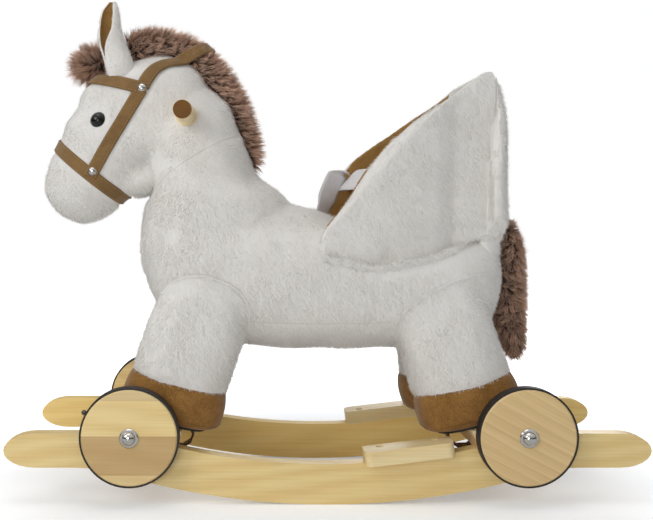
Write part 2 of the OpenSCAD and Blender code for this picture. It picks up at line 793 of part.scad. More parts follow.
// Belt: webbing from wing to wing, bowed forward, and a strap that loops round it
belt_at = [165, 197];
belt_lean = 36;
belt_drop = 7;
function bow(y) = 1 - pow(y / seat_half, 2);
function belt_point(y) = [belt_at[0] + belt_bow * bow(y), y, belt_at[1] - belt_drop * bow(y)];
function unit(v) = v / norm(v);
module waist_belt() {
  up = [-sin(belt_lean), 0, cos(belt_lean)] * belt_w / 2;
  last = 11;
  ys = [for (i = [-last : last]) seat_half * i / (last - 1)];
  rings = [for (y = ys)
    let (c = belt_point(y), run = belt_point(y + 1) - belt_point(y - 1))
    let (out = unit(cross(run, up)) * belt_t / 2)
    [c + up + out, c + up - out, c - up - out, c - up + out]];
  color(webbing) at_rump() intersection() {
    skin(rings, belt_point(ys[0]), belt_point(ys[2 * last]), false);
    translate([0, -seat_half, 0]) cube([far, 2 * seat_half, far]);
  }
}
module crotch_strap() {
  loop_w = 30;
  // The belt's bow carries it back and up where it leaves the loop's edges
  turn = 1 - bow(loop_w / 2);
  slack = belt_bow * turn + 1;
  rise = (belt_bow * sin(belt_lean) + belt_drop * cos(belt_lean)) * turn + fit;
  half = belt_t / 2 + fit;
  reach = belt_w / 2 + fit;
  color(webbing) difference() {
    at_rump() translate(belt_point(0)) rotate([0, -belt_lean, 0]) {
      difference() {
        translate([-half - belt_t - slack, -loop_w / 2, -reach - belt_t])
          cube([2 * (half + belt_t) + slack, loop_w, 2 * (reach + belt_t) + rise]);
        translate([-half - slack, -loop_w, -reach])
          cube([2 * half + slack, 2 * loop_w, 2 * reach + rise]);
      }
      translate([-belt_t / 2, -loop_w / 2, -reach - 2 * belt_w])
        cube([belt_t, loop_w, 2 * belt_w - belt_t]);
    }
    body_form();
    cushion_form();
  }
}

// Bridle: bands that lie on the skin of the head
module band(at, angle, from, to) {
  at_chest() translate([at[0], 0, at[1]]) rotate([0, -angle, 0])
    translate([from, -far, -strap_w / 2]) cube([to - from, 2 * far, strap_w]);
}
rivet_top = [-8, 310];
rivet_low = [50, 209];
cheek_run = norm(rivet_top - rivet_low);
cheek_angle = atan2(rivet_top[1] - rivet_low[1], rivet_top[0] - rivet_low[0]);
module bridle(at, angle, from, to) {
  color(tan_cloth) difference() {
    intersection() {
      head_form(strap_t);
      band(at, angle, from, to);
    }
    head_form();
    neck_form();
  }
}
nose_at = [56, 211];
nose_angle = 38;
brow_angle = 15;
rein_angle = 143;
module nose_slab() {
  band(nose_at, nose_angle, -far, far);
}
module brow_slab() {
  band(rivet_top, brow_angle, -strap_w / 2, far);
}
module noseband() { bridle(nose_at, nose_angle, -far, far); }
module browband() {
  difference() {
    bridle(rivet_top, brow_angle, -strap_w / 2, far);
    both_sides() ear_form();
  }
}
module cheek_straps() {
  difference() {
    bridle(rivet_low, cheek_angle, 0, cheek_run);
    nose_slab();
    brow_slab();
    at_chest() translate([-far, -20, 0]) cube([2 * far, 40, far]);
  }
}
module rein() {
  color(tan_cloth) difference() {
    intersection() {
      union() {
        head_form(strap_t);
        mane_form(strap_t);
      }
      band(rivet_top, rein_angle, 0, far);
    }
    head_form();
    mane_form();
    brow_slab();
    band(rivet_low, cheek_angle, 0, cheek_run + strap_w / 2);
  }
}
module rivets() {
  color(chrome) difference() {
    intersection() {
      head_form(strap_t + 2);
      at_chest() for (p = [rivet_top, rivet_low]) translate([p[0], -far, p[1]]) rotate([-90, 0, 0])
        cylinder(r = rivet_r, h = 2 * far);
    }
    head_form(strap_t);
  }
}

rocker_left();
rocker_right();
footrest_left();
footrest_right();
wood_screws();
cross_bar_front();
cross_bar_rear();
hoof_board_front();
hoof_board_rear();
axle_front();
axle_rear();
wheel_front_left();
wheel_front_right();
wheel_rear_left();
wheel_rear_right();
tyre_front_left();
tyre_front_right();
tyre_rear_left();
tyre_rear_right();
axle_washers();
axle_caps();
strap_studs();
strap_loop_front();
strap_loop_rear();
hoof_soles();
leg_posts();
spine_board();
neck_board();
back_board();
handle();
handle_discs();
hoof_front_left();
hoof_front_right();
hoof_rear_left();
hoof_rear_right();
leg_front_left();
leg_front_right();
leg_rear_left();
leg_rear_right();
body();
neck();
head();
ear_left();
ear_right();
eyes();
mane();
forelock();
tail();
seat_wing_left();
seat_wing_right();
seat_back();
seat_lining();
seat_cushion();
waist_belt();
crotch_strap();
noseband();
browband();
cheek_straps();
rein();
rivets();
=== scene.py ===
# %% [markdown]
# A plush ride-on horse on pine rockers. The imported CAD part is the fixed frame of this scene: wood,
# metal and rubber stay as they were drawn and get their finish here, while every stuffed, furred or
# woven piece is rebuilt as cloth that sits where its plain solid is.

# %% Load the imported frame
import json
import math
import bmesh
import bpy
import numpy as np
from mathutils import Matrix, Vector, noise
from mathutils.bvhtree import BVHTree


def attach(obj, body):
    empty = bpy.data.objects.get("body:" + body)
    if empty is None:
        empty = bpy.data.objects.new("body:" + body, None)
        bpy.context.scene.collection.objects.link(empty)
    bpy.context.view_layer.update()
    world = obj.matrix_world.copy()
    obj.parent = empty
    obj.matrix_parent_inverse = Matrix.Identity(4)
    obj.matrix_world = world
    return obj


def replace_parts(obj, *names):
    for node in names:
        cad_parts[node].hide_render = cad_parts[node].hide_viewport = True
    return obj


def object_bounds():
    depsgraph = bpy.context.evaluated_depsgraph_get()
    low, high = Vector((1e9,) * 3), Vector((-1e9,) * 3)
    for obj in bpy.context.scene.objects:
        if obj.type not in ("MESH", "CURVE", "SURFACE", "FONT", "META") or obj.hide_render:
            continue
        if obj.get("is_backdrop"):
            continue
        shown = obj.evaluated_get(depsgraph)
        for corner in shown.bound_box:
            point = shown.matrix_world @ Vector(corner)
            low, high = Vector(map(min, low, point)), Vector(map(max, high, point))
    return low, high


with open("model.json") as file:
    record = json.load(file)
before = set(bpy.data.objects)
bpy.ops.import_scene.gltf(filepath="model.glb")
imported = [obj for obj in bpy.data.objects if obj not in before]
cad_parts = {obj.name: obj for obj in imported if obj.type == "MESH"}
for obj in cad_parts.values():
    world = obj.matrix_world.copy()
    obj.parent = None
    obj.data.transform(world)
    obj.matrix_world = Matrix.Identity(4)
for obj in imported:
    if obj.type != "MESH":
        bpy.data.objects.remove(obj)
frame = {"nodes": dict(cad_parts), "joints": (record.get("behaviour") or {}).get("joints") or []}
cad_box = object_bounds()
nodes = frame["nodes"]
print("nodes", len(nodes), "CAD box", [list(map(float, c)) for c in cad_box])

# %% [markdown]
# The photograph was taken from the horse's left, a little above the middle of the toy. A pinhole
# camera was fitted to both rockers, the wheels and the hand bar. Its axis does not meet the middle
# of the picture, so the lens is shifted by that much and the camera itself stays level.

# %% Camera
PICTURE_W, PICTURE_H = 653, 520
FOCAL_PX, AXIS_U, AXIS_V = 939.0, 249.0, 210.0
camera_data = bpy.data.cameras.new("photo_camera")
camera_data.sensor_width = 36.0
camera_data.lens = FOCAL_PX / PICTURE_W * camera_data.sensor_width
camera_data.shift_x = (PICTURE_W / 2 - AXIS_U) / PICTURE_W
camera_data.shift_y = (AXIS_V - PICTURE_H / 2) / PICTURE_W
camera_data.clip_start = 0.01
camera = bpy.data.objects.new("photo_camera", camera_data)
camera.location = (0.0895, 1.181, 0.336)
camera.rotation_euler = (math.radians(90), 0, math.radians(180))
bpy.context.scene.collection.objects.link(camera)
bpy.context.scene.camera = camera
print("lens", round(camera_data.lens, 2), "shift", camera_data.shift_x, camera_data.shift_y)

# %% [markdown]
# World, floor and every finish are small trees of nodes. Nodes can be added by hand in the editor or
# one by one in code. Here one helper adds a node, sets its values and links its inputs, which keeps
# a tree as short as its drawing. Colours are written as on a paint chart.

# %% Node helpers
def put(tree, kind, inputs=None, **props):
    """Adds a node; inputs are constants, or sockets to link from, by name or number."""
    node = tree.nodes.new(kind)
    for key, value in props.items():
        setattr(node, key, value)
    for key, value in (inputs or {}).items():
        if isinstance(value, bpy.types.NodeSocket):
            tree.links.new(value, node.inputs[key])
        else:
            node.inputs[key].default_value = value
    return node


def lin(code):
    """A colour written as #rrggbb, as the linear values that a shader takes."""
    c = [int(code[i:i + 2], 16) / 255 for i in (1, 3, 5)]
    return tuple(x / 12.92 if x <= 0.04045 else ((x + 0.055) / 1.055) ** 2.4 for x in c) + (1.0,)


def ramp(tree, value, stops, mode="LINEAR"):
    """A colour ramp over a value; stops are places and colours in rising order."""
    node = put(tree, "ShaderNodeValToRGB", {0: value})
    node.color_ramp.interpolation = mode
    while len(node.color_ramp.elements) < len(stops):
        node.color_ramp.elements.new(0.5)
    for item, (at, colour) in zip(node.color_ramp.elements, stops):
        item.position, item.color = at, colour
    return node.outputs[0]


# %% [markdown]
# The picture is a bright studio shot, white all round. The world lights the toy evenly and dimly, and
# the camera sees it as plain white, because a Light Path node tells the rays apart. Polished metal
# needs something to mirror, so glossy rays see a grey studio: dark low down and bright overhead.

# %% World
EVEN_LIGHT, EVEN_TINT = 0.36, (0.97, 0.98, 1.0, 1)
STUDIO_GREYS = [(0.0, 0.55), (0.55, 0.06), (0.70, 0.6), (1.0, 1.0)]
scene = bpy.context.scene
scene.view_settings.view_transform = "Standard"
scene.world = bpy.data.worlds.new("studio")
scene.world.use_nodes = True
sky = scene.world.node_tree
sky.nodes.clear()
ray = put(sky, "ShaderNodeLightPath").outputs
seen = put(sky, "ShaderNodeMath", {0: ray["Is Camera Ray"], 1: ray["Is Glossy Ray"]}, operation="MAXIMUM")
seen = put(sky, "ShaderNodeMath", {0: seen.outputs[0], 1: ray["Is Transmission Ray"]}, operation="MAXIMUM")
even = put(sky, "ShaderNodeBackground", {"Color": EVEN_TINT, "Strength": EVEN_LIGHT})
white = put(sky, "ShaderNodeBackground", {"Color": (1, 1, 1, 1), "Strength": 1.0})
shown = put(sky, "ShaderNodeMixShader", {0: seen.outputs[0], 1: even.outputs[0], 2: white.outputs[0]})
way = put(sky, "ShaderNodeSeparateXYZ", {0: put(sky, "ShaderNodeTexCoord").outputs["Generated"]})
height = put(sky, "ShaderNodeMapRange", {"Value": way.outputs[2], "From Min": -1.0}).outputs[0]
greys = ramp(sky, height, [(at, (grey, grey, grey, 1)) for at, grey in STUDIO_GREYS])
mirrored = put(sky, "ShaderNodeBackground", {"Color": greys, "Strength": 1.0})
shown = put(sky, "ShaderNodeMixShader",
            {0: ray["Is Glossy Ray"], 1: shown.outputs[0], 2: mirrored.outputs[0]})
put(sky, "ShaderNodeOutputWorld", {"Surface": shown.outputs[0]})
print("world light", EVEN_LIGHT, "studio greys", len(STUDIO_GREYS))

# %% [markdown]
# Four large round lamps stand for soft boxes. The key lamp is at the upper left of the camera and
# models the forms, one hangs overhead, a low one opens the shade under the belly, and one behind
# keeps the far side from going grey.

# %% Lamps
LAMPS = [("key", (1.5, 1.4, 1.3), (0, 0, 0.3), 1.0, 11.5), ("top", (0.3, 0.3, 2.0), (0, 0, 0.2), 1.4, 6.5),
         ("low", (0.5, 1.9, 0.42), (0, 0, 0.1), 0.8, 7.0),
         ("far", (-0.7, -1.8, 1.0), (0, 0, 0.25), 1.2, 14.0)]
for name, place, aim, size, watts in LAMPS:
    data = bpy.data.lights.new(name, "AREA")
    data.shape, data.size, data.energy = "DISK", size, watts
    lamp = bpy.data.objects.new(name, data)
    lamp.location = place
    lamp.rotation_euler = (Vector(aim) - Vector(place)).to_track_quat("-Z", "Y").to_euler()
    scene.collection.objects.link(lamp)
print("lamps", [name for name, *_ in LAMPS])

# %% [markdown]
# The floor is a pale matt sheet. Near the toy it keeps the soft shadows of rockers and wheels. Further
# out it should be as white as the background, so a glow that only the camera sees grows with the
# distance. That adds no light to the toy.

# %% Floor
FLOOR_HALF, FLOOR_TINT = 6, (0.955, 0.978, 1.0, 1)
WHITE_FROM, WHITE_AT, NEAR_GLOW = 0.27, 0.75, 0.25
floor_mesh = bpy.data.meshes.new("floor")
corners = [(-FLOOR_HALF, -FLOOR_HALF, 0), (FLOOR_HALF, -FLOOR_HALF, 0), (FLOOR_HALF, FLOOR_HALF, 0),
           (-FLOOR_HALF, FLOOR_HALF, 0)]
floor_mesh.from_pydata(corners, [], [(0, 1, 2, 3)])
floor = bpy.data.objects.new("floor", floor_mesh)
scene.collection.objects.link(floor)
sheet = bpy.data.materials.new("floor_sheet")
sheet.use_nodes = True
tree = sheet.node_tree
tree.nodes.clear()
spread = put(tree, "ShaderNodeTexNoise", {"Scale": 3.0, "Detail": 2.0}).outputs["Fac"]
tone = put(tree, "ShaderNodeMapRange", {"Value": spread, "To Min": 0.93, "To Max": 0.95}).outputs[0]
cool = put(tree, "ShaderNodeMix", {0: 1.0, 6: tone, 7: FLOOR_TINT}, data_type="RGBA", blend_type="MULTIPLY")
matt = put(tree, "ShaderNodeBsdfDiffuse", {"Color": cool.outputs[2]}).outputs[0]
spot = put(tree, "ShaderNodeTexCoord").outputs["Object"]
distance = put(tree, "ShaderNodeVectorMath", {0: spot}, operation="LENGTH").outputs["Value"]
glow = put(tree, "ShaderNodeMapRange",
           {"Value": distance, "From Min": WHITE_FROM, "From Max": WHITE_AT, "To Min": NEAR_GLOW,
            "To Max": 1.0}, interpolation_type="SMOOTHSTEP").outputs[0]
by_camera = put(tree, "ShaderNodeLightPath").outputs["Is Camera Ray"]
lift = put(tree, "ShaderNodeMath", {0: by_camera, 1: glow}, operation="MULTIPLY").outputs[0]
pale = put(tree, "ShaderNodeEmission", {"Color": (1, 1, 1, 1), "Strength": lift}).outputs[0]
lit = put(tree, "ShaderNodeAddShader", {0: matt, 1: pale}).outputs[0]
put(tree, "ShaderNodeOutputMaterial", {"Surface": lit})
floor_mesh.materials.append(sheet)
floor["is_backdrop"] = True
print("floor white from", WHITE_AT, "m")

# %% [markdown]
# Sizes that the soft pieces share with the CAD part, in millimetres. They say where the slanted
# seats of the cross bars are, how high the belly hangs, and where chest and rump lie.

# %% Shared sizes
MM = 0.001
ROCKER_R, ROCKER_H, WHEELBASE = 850.0, 46.0, 448.0
AXLE_AHEAD, AXLE_UP = 16.0, 7.0
BAR_HOUSING, BAR_T, BOARD_T, SOLE_T = 4.5, 16.0, 8.0, 2.5
TOP_R = ROCKER_R - ROCKER_H
TILT = math.asin((WHEELBASE / 2 - AXLE_AHEAD) / TOP_R)
BAR_X = WHEELBASE / 2 - AXLE_AHEAD * math.cos(TILT) + AXLE_UP * math.sin(TILT)
BAR_Z = ROCKER_R - math.sqrt(TOP_R ** 2 - BAR_X ** 2) - BAR_HOUSING
BELLY_UP = 81.0
BELLY_Z = BAR_Z + BAR_T + BOARD_T + BELLY_UP
CHEST_X, RUMP_X = 225.0, -215.0
BODY_W, NECK_W, HEAD_W = 196.0, 140.0, 128.0
LEG_Y, LEG_W, LEG_LEN, LEG_H = 61.0, 92.0, 114.0, 126.0
HOOF_H, HOOF_FLARE = 47.0, 3.5
HOOF_Z = BAR_T + BOARD_T + SOLE_T
LEG_Z = HOOF_Z + HOOF_H
BACK_TOP, BACK_T, WING_T, LINING_T, CUSHION_TOP = 320.0, 32.0, 28.0, 6.0, 160.0
SEAT_HALF = BODY_W / 2 - WING_T - LINING_T
CHEST = Matrix.Translation((CHEST_X, 0, BELLY_Z))
RUMP = Matrix.Translation((RUMP_X, 0, BELLY_Z))
ENDS, SIDES = {"front": 1, "rear": -1}, {"left": 1, "right": -1}
CORNERS = [(f"{end}_{side}", ENDS[end], SIDES[side]) for end in ENDS for side in SIDES]
print("belly at", round(BELLY_Z, 1), "bar at", round(BAR_X, 1), round(BAR_Z, 1), "tilt",
      round(math.degrees(TILT), 2))


def bar_frame(end):
    """The slanted seat of the front bar (end 1) or the rear bar (end -1)."""
    place = Matrix.Translation((BAR_X, 0, BAR_Z)) @ Matrix.Rotation(-TILT, 4, "Y")
    return (Matrix.Scale(-1, 4, (1, 0, 0)) @ place) if end < 0 else place


# %% [markdown]
# Stuffed forms start as lofts: cross-sections set along a line and joined by a smooth skin. Each
# station gives the middle, the tilt of the section, its half width and its reach to both sides. The
# stations are joined by curves that never overshoot them, and each end is closed by a low dome.

# %% Curves through stations
def smooth_through(values, per):
    """Points on a curve through each row of values, without overshoot."""
    v = np.array(values, float)
    t = np.r_[0, np.cumsum(np.linalg.norm(np.diff(v[:, :2], axis=0), axis=1) + 1e-6)]
    h = np.diff(t)[:, None]
    d = np.diff(v, axis=0) / h
    m = np.zeros_like(v)
    same = d[:-1] * d[1:] > 0
    before, after = np.where(same, d[:-1], 1), np.where(same, d[1:], 1)
    mean = (h[:-1] + h[1:]) * 3 / ((2 * h[1:] + h[:-1]) / before + (h[1:] + 2 * h[:-1]) / after)
    m[1:-1] = np.where(same, mean, 0)
    m[0], m[-1] = d[0], d[-1]
    out = []
    for i in range(len(v) - 1):
        for k in range(per + (i == len(v) - 2)):
            s = k / per
            out.append((2 * s ** 3 - 3 * s ** 2 + 1) * v[i] + (s ** 3 - 2 * s ** 2 + s) * h[i] * m[i]
                       + (3 * s ** 2 - 2 * s ** 3) * v[i + 1] + (s ** 3 - s ** 2) * h[i] * m[i + 1])
    return np.array(out)


# %% Rings and skins
def oval(s, n, e, grow=0.0):
    """One ring of a loft at station s."""
    t = np.linspace(0, 2 * np.pi, n, endpoint=False)
    power = lambda v: np.sign(v) * np.abs(v) ** e
    across = (s[3] + grow) * power(np.cos(t))
    along = np.where(np.sin(t) >= 0, s[4] + grow, s[5] + grow) * power(np.sin(t))
    a = math.radians(s[2])
    return np.c_[s[0] + along * math.cos(a), across, s[1] + along * math.sin(a)]


def closed_skin(rings, poles):
    """Vertices and faces of a closed skin over rings of equal count."""
    n, m = len(rings[0]), len(rings)
    verts = np.vstack(rings + [np.array(poles)])
    faces = [(i * n + j, (i + 1) * n + j, (i + 1) * n + (j + 1) % n, i * n + (j + 1) % n)
             for i in range(m - 1) for j in range(n)]
    faces += [(m * n, j, (j + 1) % n) for j in range(n)]
    faces += [(m * n + 1, (m - 1) * n + (j + 1) % n, (m - 1) * n + j) for j in range(n)]
    return verts, faces


def dome(ring, beyond, rise):
    """Rings that close an end: ever smaller copies of its last ring, moved beyond it."""
    c = ring.mean(0)
    out = [c + (ring - c) * math.cos(a) + beyond * rise * math.sin(a) for a in np.radians([25, 50, 72])]
    return out, c + beyond * rise


# %% Lofts
def loft(stations, n=64, e=1.0, per=6, grow=0.0, rise=4.0):
    st = smooth_through(stations, per)
    rings = [oval(s, n, e, grow) for s in st]
    unit = lambda v: v / np.linalg.norm(v)
    first, pole_a = dome(rings[0], unit(rings[0].mean(0) - rings[1].mean(0)), rise)
    last, pole_b = dome(rings[-1], unit(rings[-1].mean(0) - rings[-2].mean(0)), rise)
    return closed_skin(first[::-1] + rings + last, [pole_a, pole_b])


def section_loft(rows, e, lean=0.0, **more):
    z0, run = rows[0][0], rows[-1][0] - rows[0][0]
    return loft([(-lean * (z - z0) / run, z, 0, w, l, l) for z, w, l in rows], e=e, **more)


# %% Solids
def solid(name, shape, place=Matrix.Identity(4)):
    """A mesh object from millimetre points, with its faces turned outwards."""
    verts, faces = shape
    mesh = bpy.data.meshes.new(name)
    mesh.from_pydata([tuple((place @ Vector(v)) * MM) for v in verts], [], faces)
    bm = bmesh.new()
    bm.from_mesh(mesh)
    bmesh.ops.remove_doubles(bm, verts=bm.verts, dist=1e-6)
    bmesh.ops.recalc_face_normals(bm, faces=bm.faces)
    bm.to_mesh(mesh)
    bm.free()
    obj = bpy.data.objects.new(name, mesh)
    scene.collection.objects.link(obj)
    return obj


# %% [markdown]
# A sewn form is several lofts grown into one skin, with its neighbours cut away where the seams
# run. A voxel remesh then gives an even net of small faces, and a little smoothing rounds the cut
# edges into the soft furrow that a seam makes in plush.

# %% Mesh helpers
def flatten(obj, name=None):
    """The object with its modifiers worked in, as a plain mesh."""
    graph = bpy.context.evaluated_depsgraph_get()
    mesh = bpy.data.meshes.new_from_object(obj.evaluated_get(graph))
    obj.modifiers.clear()
    obj.data = mesh
    if name:
        obj.name = mesh.name = name
    return obj


def tree_of(*objs):
    """One search tree over the skins of several pieces."""
    verts, faces = [], []
    for o in objs:
        first = len(verts)
        verts += [v.co.copy() for v in o.data.vertices]
        faces += [tuple(first + i for i in p.vertices) for p in o.data.polygons]
    return BVHTree.FromPolygons(verts, faces)


def smooth_faces(obj):
    obj.data.polygons.foreach_set("use_smooth", np.ones(len(obj.data.polygons), bool))
    return obj


def put_together(objs):
    """Joins objects into the first of them."""
    with bpy.context.temp_override(active_object=objs[0], selected_editable_objects=list(objs)):
        bpy.ops.object.join()
    return objs[0]


def remove(*objs):
    for o in objs:
        bpy.data.objects.remove(o)


# %% Soft skins
FINE_NET, BODY_NET = 0.003, 0.004


def soft_skin(name, shapes, cutters=(), voxel=BODY_NET, rounds=6):
    """shapes are joined, cutters are taken away, and the result is remeshed and smoothed."""
    first = shapes[0]
    if len(shapes) > 1:
        put_together(shapes)
        first.modifiers.new("grow", "REMESH").voxel_size = FINE_NET
    for cutter in cutters:
        cut = first.modifiers.new("cut", "BOOLEAN")
        cut.operation, cut.object, cut.solver = "DIFFERENCE", cutter, "EXACT"
    first.modifiers.new("net", "REMESH").voxel_size = voxel
    ease = first.modifiers.new("ease", "SMOOTH")
    ease.factor, ease.iterations = 0.5, rounds
    return smooth_faces(flatten(first, name))


def rumple(obj, height, size, seed):
    """Soft unevenness of a stuffed piece, along its normals."""
    mesh = obj.data
    for v, normal in zip(mesh.vertices, [n.vector.copy() for n in mesh.vertex_normals]):
        v.co += normal * height * noise.noise(v.co / size + Vector((seed, 0, 0)))


# %% [markdown]
# Stuffing presses cloth outwards between its seams. The pads of the seat get this from a short cloth
# simulation with air pressure and no weight: what touches another piece is pinned as if sewn there, and
# no point may move further than the cap.

# %% Padding helpers
PRESSURE, LAST_FRAME, PAD_NET = 4.0, 20, 0.005


def sewn_points(points, neighbours, clear):
    """The numbers of the points that lie in a neighbour or nearer to it than clear."""
    tree = tree_of(*neighbours)
    sewn = []
    for i, v in enumerate(points):
        spot, normal, _, gap = tree.find_nearest(v)
        if gap < clear or (v - spot).dot(normal) < 0:
            sewn.append(i)
    return sewn


def blown_up(obj, pins):
    """Runs the cloth simulation and works its last frame into the mesh."""
    cloth = obj.modifiers.new("stuffing", "CLOTH")
    rules = cloth.settings
    rules.use_pressure, rules.uniform_pressure_force, rules.vertex_group_mass = True, PRESSURE, pins.name
    rules.effector_weights.gravity = 0.0
    cloth.point_cache.frame_start, cloth.point_cache.frame_end = 1, LAST_FRAME
    for number in range(1, LAST_FRAME + 1):
        scene.frame_set(number)
    flatten(obj, obj.name)
    scene.frame_set(1)


def plumped(obj, neighbours, clear, cap):
    """The same piece, blown up by its stuffing; points nearer than clear to a neighbour stay."""
    net = obj.modifiers.new("net", "REMESH")
    net.voxel_size = PAD_NET
    flatten(obj, obj.name)
    before = [v.co.copy() for v in obj.data.vertices]
    sewn = sewn_points(before, neighbours, clear)
    pins = obj.vertex_groups.new(name="sewn")
    pins.add(sewn, 1.0, "REPLACE")
    blown_up(obj, pins)
    moved = []
    for v, was in zip(obj.data.vertices, before):
        way = v.co - was
        moved.append(way.length)
        if way.length > cap:
            v.co = was + way * (cap / way.length)
    finer = obj.modifiers.new("finer", "SUBSURF")
    finer.levels = finer.render_levels = 1
    flatten(obj, obj.name)
    obj.vertex_groups.clear()
    print(obj.name, "points", len(before), "sewn", len(sewn), "most moved", round(max(moved) / MM, 1), "mm")
    return smooth_faces(obj)


# %% [markdown]
# The horse's body is a barrel that narrows to chest and rump. The neck rises from it to a collar, and
# the head is three forms: the skull with its long nose, the nape that laps over the collar, and the
# pad under the throat. The rows were read against the photo's outline, less the length of the nap.

# %% Stations of body and neck
HALF_BODY, HALF_NECK, HALF_HEAD = BODY_W / 2, NECK_W / 2, HEAD_W / 2
BODY_ROWS = [
    (RUMP_X, 95, 90, HALF_BODY - 64, 38, 34), (RUMP_X + 8, 88, 90, HALF_BODY - 34, 54, 58),
    (RUMP_X + 34, 78, 90, HALF_BODY - 12, 60, 76), (RUMP_X + 84, 72, 90, HALF_BODY - 1, 62, 77),
    (RUMP_X + 150, 72, 90, HALF_BODY, 64, 78), (CHEST_X - 222, 74, 90, HALF_BODY - 1, 86, 80),
    (CHEST_X - 158, 80, 90, HALF_BODY - 4, 96, 85), (CHEST_X - 98, 88, 90, HALF_BODY - 8, 92, 85),
    (CHEST_X - 49, 100, 90, HALF_BODY - 18, 80, 76), (CHEST_X - 19, 112, 90, HALF_BODY - 38, 62, 58),
    (CHEST_X - 5, 122, 90, HALF_BODY - 66, 40, 36)]
NECK_SEAM = (-68, 218, -30, HALF_NECK, 62, 69)
NECK_ROWS = [(-104, 128, -8, HALF_NECK + 14, 92, 95), (-94, 163, -10, HALF_NECK + 14, 88, 87),
             (-80, 188, -16, HALF_NECK + 8, 77, 65), NECK_SEAM]
NAPE_ROWS = [NECK_SEAM, (-54, 253, -30, HALF_NECK - 4, 60, 70), (-40, 283, -25, HALF_NECK - 12, 50, 62),
             (-31, 306, -20, HALF_NECK - 35, 30, 35)]
UNDERLAP = 2.5
COLLAR_ROWS = [(x, z, a, p - UNDERLAP, q - UNDERLAP, r - UNDERLAP) for x, z, a, p, q, r in NAPE_ROWS[1:3]]
print("stations", len(BODY_ROWS), "body", len(NECK_ROWS), "neck", len(NAPE_ROWS), "nape")

# %% Stations of the head
SKULL_ROWS = [(-26, 352, 0, HALF_HEAD - 44, 18, 22), (-21, 340, 2, HALF_HEAD - 20, 41, 48),
              (-16, 318, 6, HALF_HEAD - 6, 67, 72), (-12, 290, 10, HALF_HEAD, 89, 90),
              (-2, 260, 18, HALF_HEAD, 87, 70), (30, 236, 30, HALF_HEAD - 4, 71, 46),
              (52, 214, 40, HALF_HEAD - 9, 60, 50), (72, 188, 36, HALF_HEAD - 12, 50, 46),
              (84, 168, 30, HALF_HEAD - 20, 40, 36), (88, 154, 25, HALF_HEAD - 40, 20, 20)]
THROAT_ROWS = [(-36, 206, 90, 18, 12, 10), (-22, 203, 90, 40, 20, 18), (-4, 199, 90, 47, 26, 20),
               (12, 196, 90, 43, 22, 17), (28, 197, 90, 18, 10, 8)]
print("stations", len(SKULL_ROWS), "skull", len(THROAT_ROWS), "throat")

# %% Forms of body, neck and head
def body_solid(grow=0.0):
    shape = loft(BODY_ROWS, e=0.85, rise=3, grow=grow)
    return solid("body_form", shape, Matrix.Translation((0, 0, BELLY_Z)))


def neck_solid(grow=0.0):
    """The neck; the smaller one, used to cut with, has no collar."""
    rows = NECK_ROWS + (COLLAR_ROWS if grow == 0 else [])
    return solid("neck_form", loft(rows, e=0.9, rise=0.5, grow=grow), CHEST)


def head_solids():
    return [solid("skull_form", loft(SKULL_ROWS, e=0.95), CHEST),
            solid("nape_form", loft(NAPE_ROWS, e=0.9, rise=0.5), CHEST),
            solid("throat_form", loft(THROAT_ROWS, n=40), CHEST)]


HIDDEN_EDGE = -4.0
body_cut = body_solid(HIDDEN_EDGE)
neck_cut = neck_solid(HIDDEN_EDGE)
print("cutters", body_cut.name, neck_cut.name)

# %% [markdown]
# A leg is sewn to the flank along an arch, and its outer side lies level with the flank there. So the
# leg's points are drawn in: a ray from the side finds how wide the body is at each point, and the
# point may not stand further out. The far hind leg leans back a little, as the photo shows.

# %% Lay a piece level with a skin
RAY_FROM = 400


def from_side(tree, x, z, side):
    """The place where a skin is met from the left (side 1) or the right (side -1), all in mm."""
    spot = tree.ray_cast(Vector((x, RAY_FROM * side, z)) * MM, Vector((0, -side, 0)))[0]
    return spot / MM if spot else None


def lay_flush(obj, skin, reach, rounds=4):
    """Draws a piece's outer side in.

    reach(x, z, half width of the skin at x and z) is how far out it may stand.
    """
    tree = tree_of(skin)
    for v in obj.data.vertices:
        side = 1 if v.co.y > 0 else -1

        def half_width(x, z):
            spot = from_side(tree, x, z, side)
            return abs(spot.y) if spot else 0.0

        most = reach(v.co.x / MM, v.co.z / MM, half_width) * MM
        if abs(v.co.y) > most:
            v.co.y = side * most
    if rounds:
        ease = obj.modifiers.new("ease", "SMOOTH")
        ease.factor, ease.iterations = 0.5, rounds
        flatten(obj, obj.name)
    return obj


# %% Forms of legs and hooves
ARCH_Z, ARCH_PROUD, ARCH_Y, ARCH_FALL, LEG_OUT = 258.7, 1.0, 95.0, 85.0, LEG_Y + LEG_W / 2 + 1
LEG_BACK = {1: -20, -1: -29}


def leg_reach(x, z, half_width):
    """Level with the flank at the top of the leg, and free of it a hand's breadth lower."""
    line = ARCH_Y + (LEG_OUT - ARCH_Y) * min(1, max(0, (ARCH_Z - z) / ARCH_FALL))
    return max(line, half_width(x, z) + ARCH_PROUD)


def leg_place(end, side):
    """The frame of a leg: on its slanted bar, at its own side."""
    return Matrix.Scale(side, 4, (0, 1, 0)) @ bar_frame(end) @ Matrix.Translation((LEG_BACK[end], LEG_Y, 0))


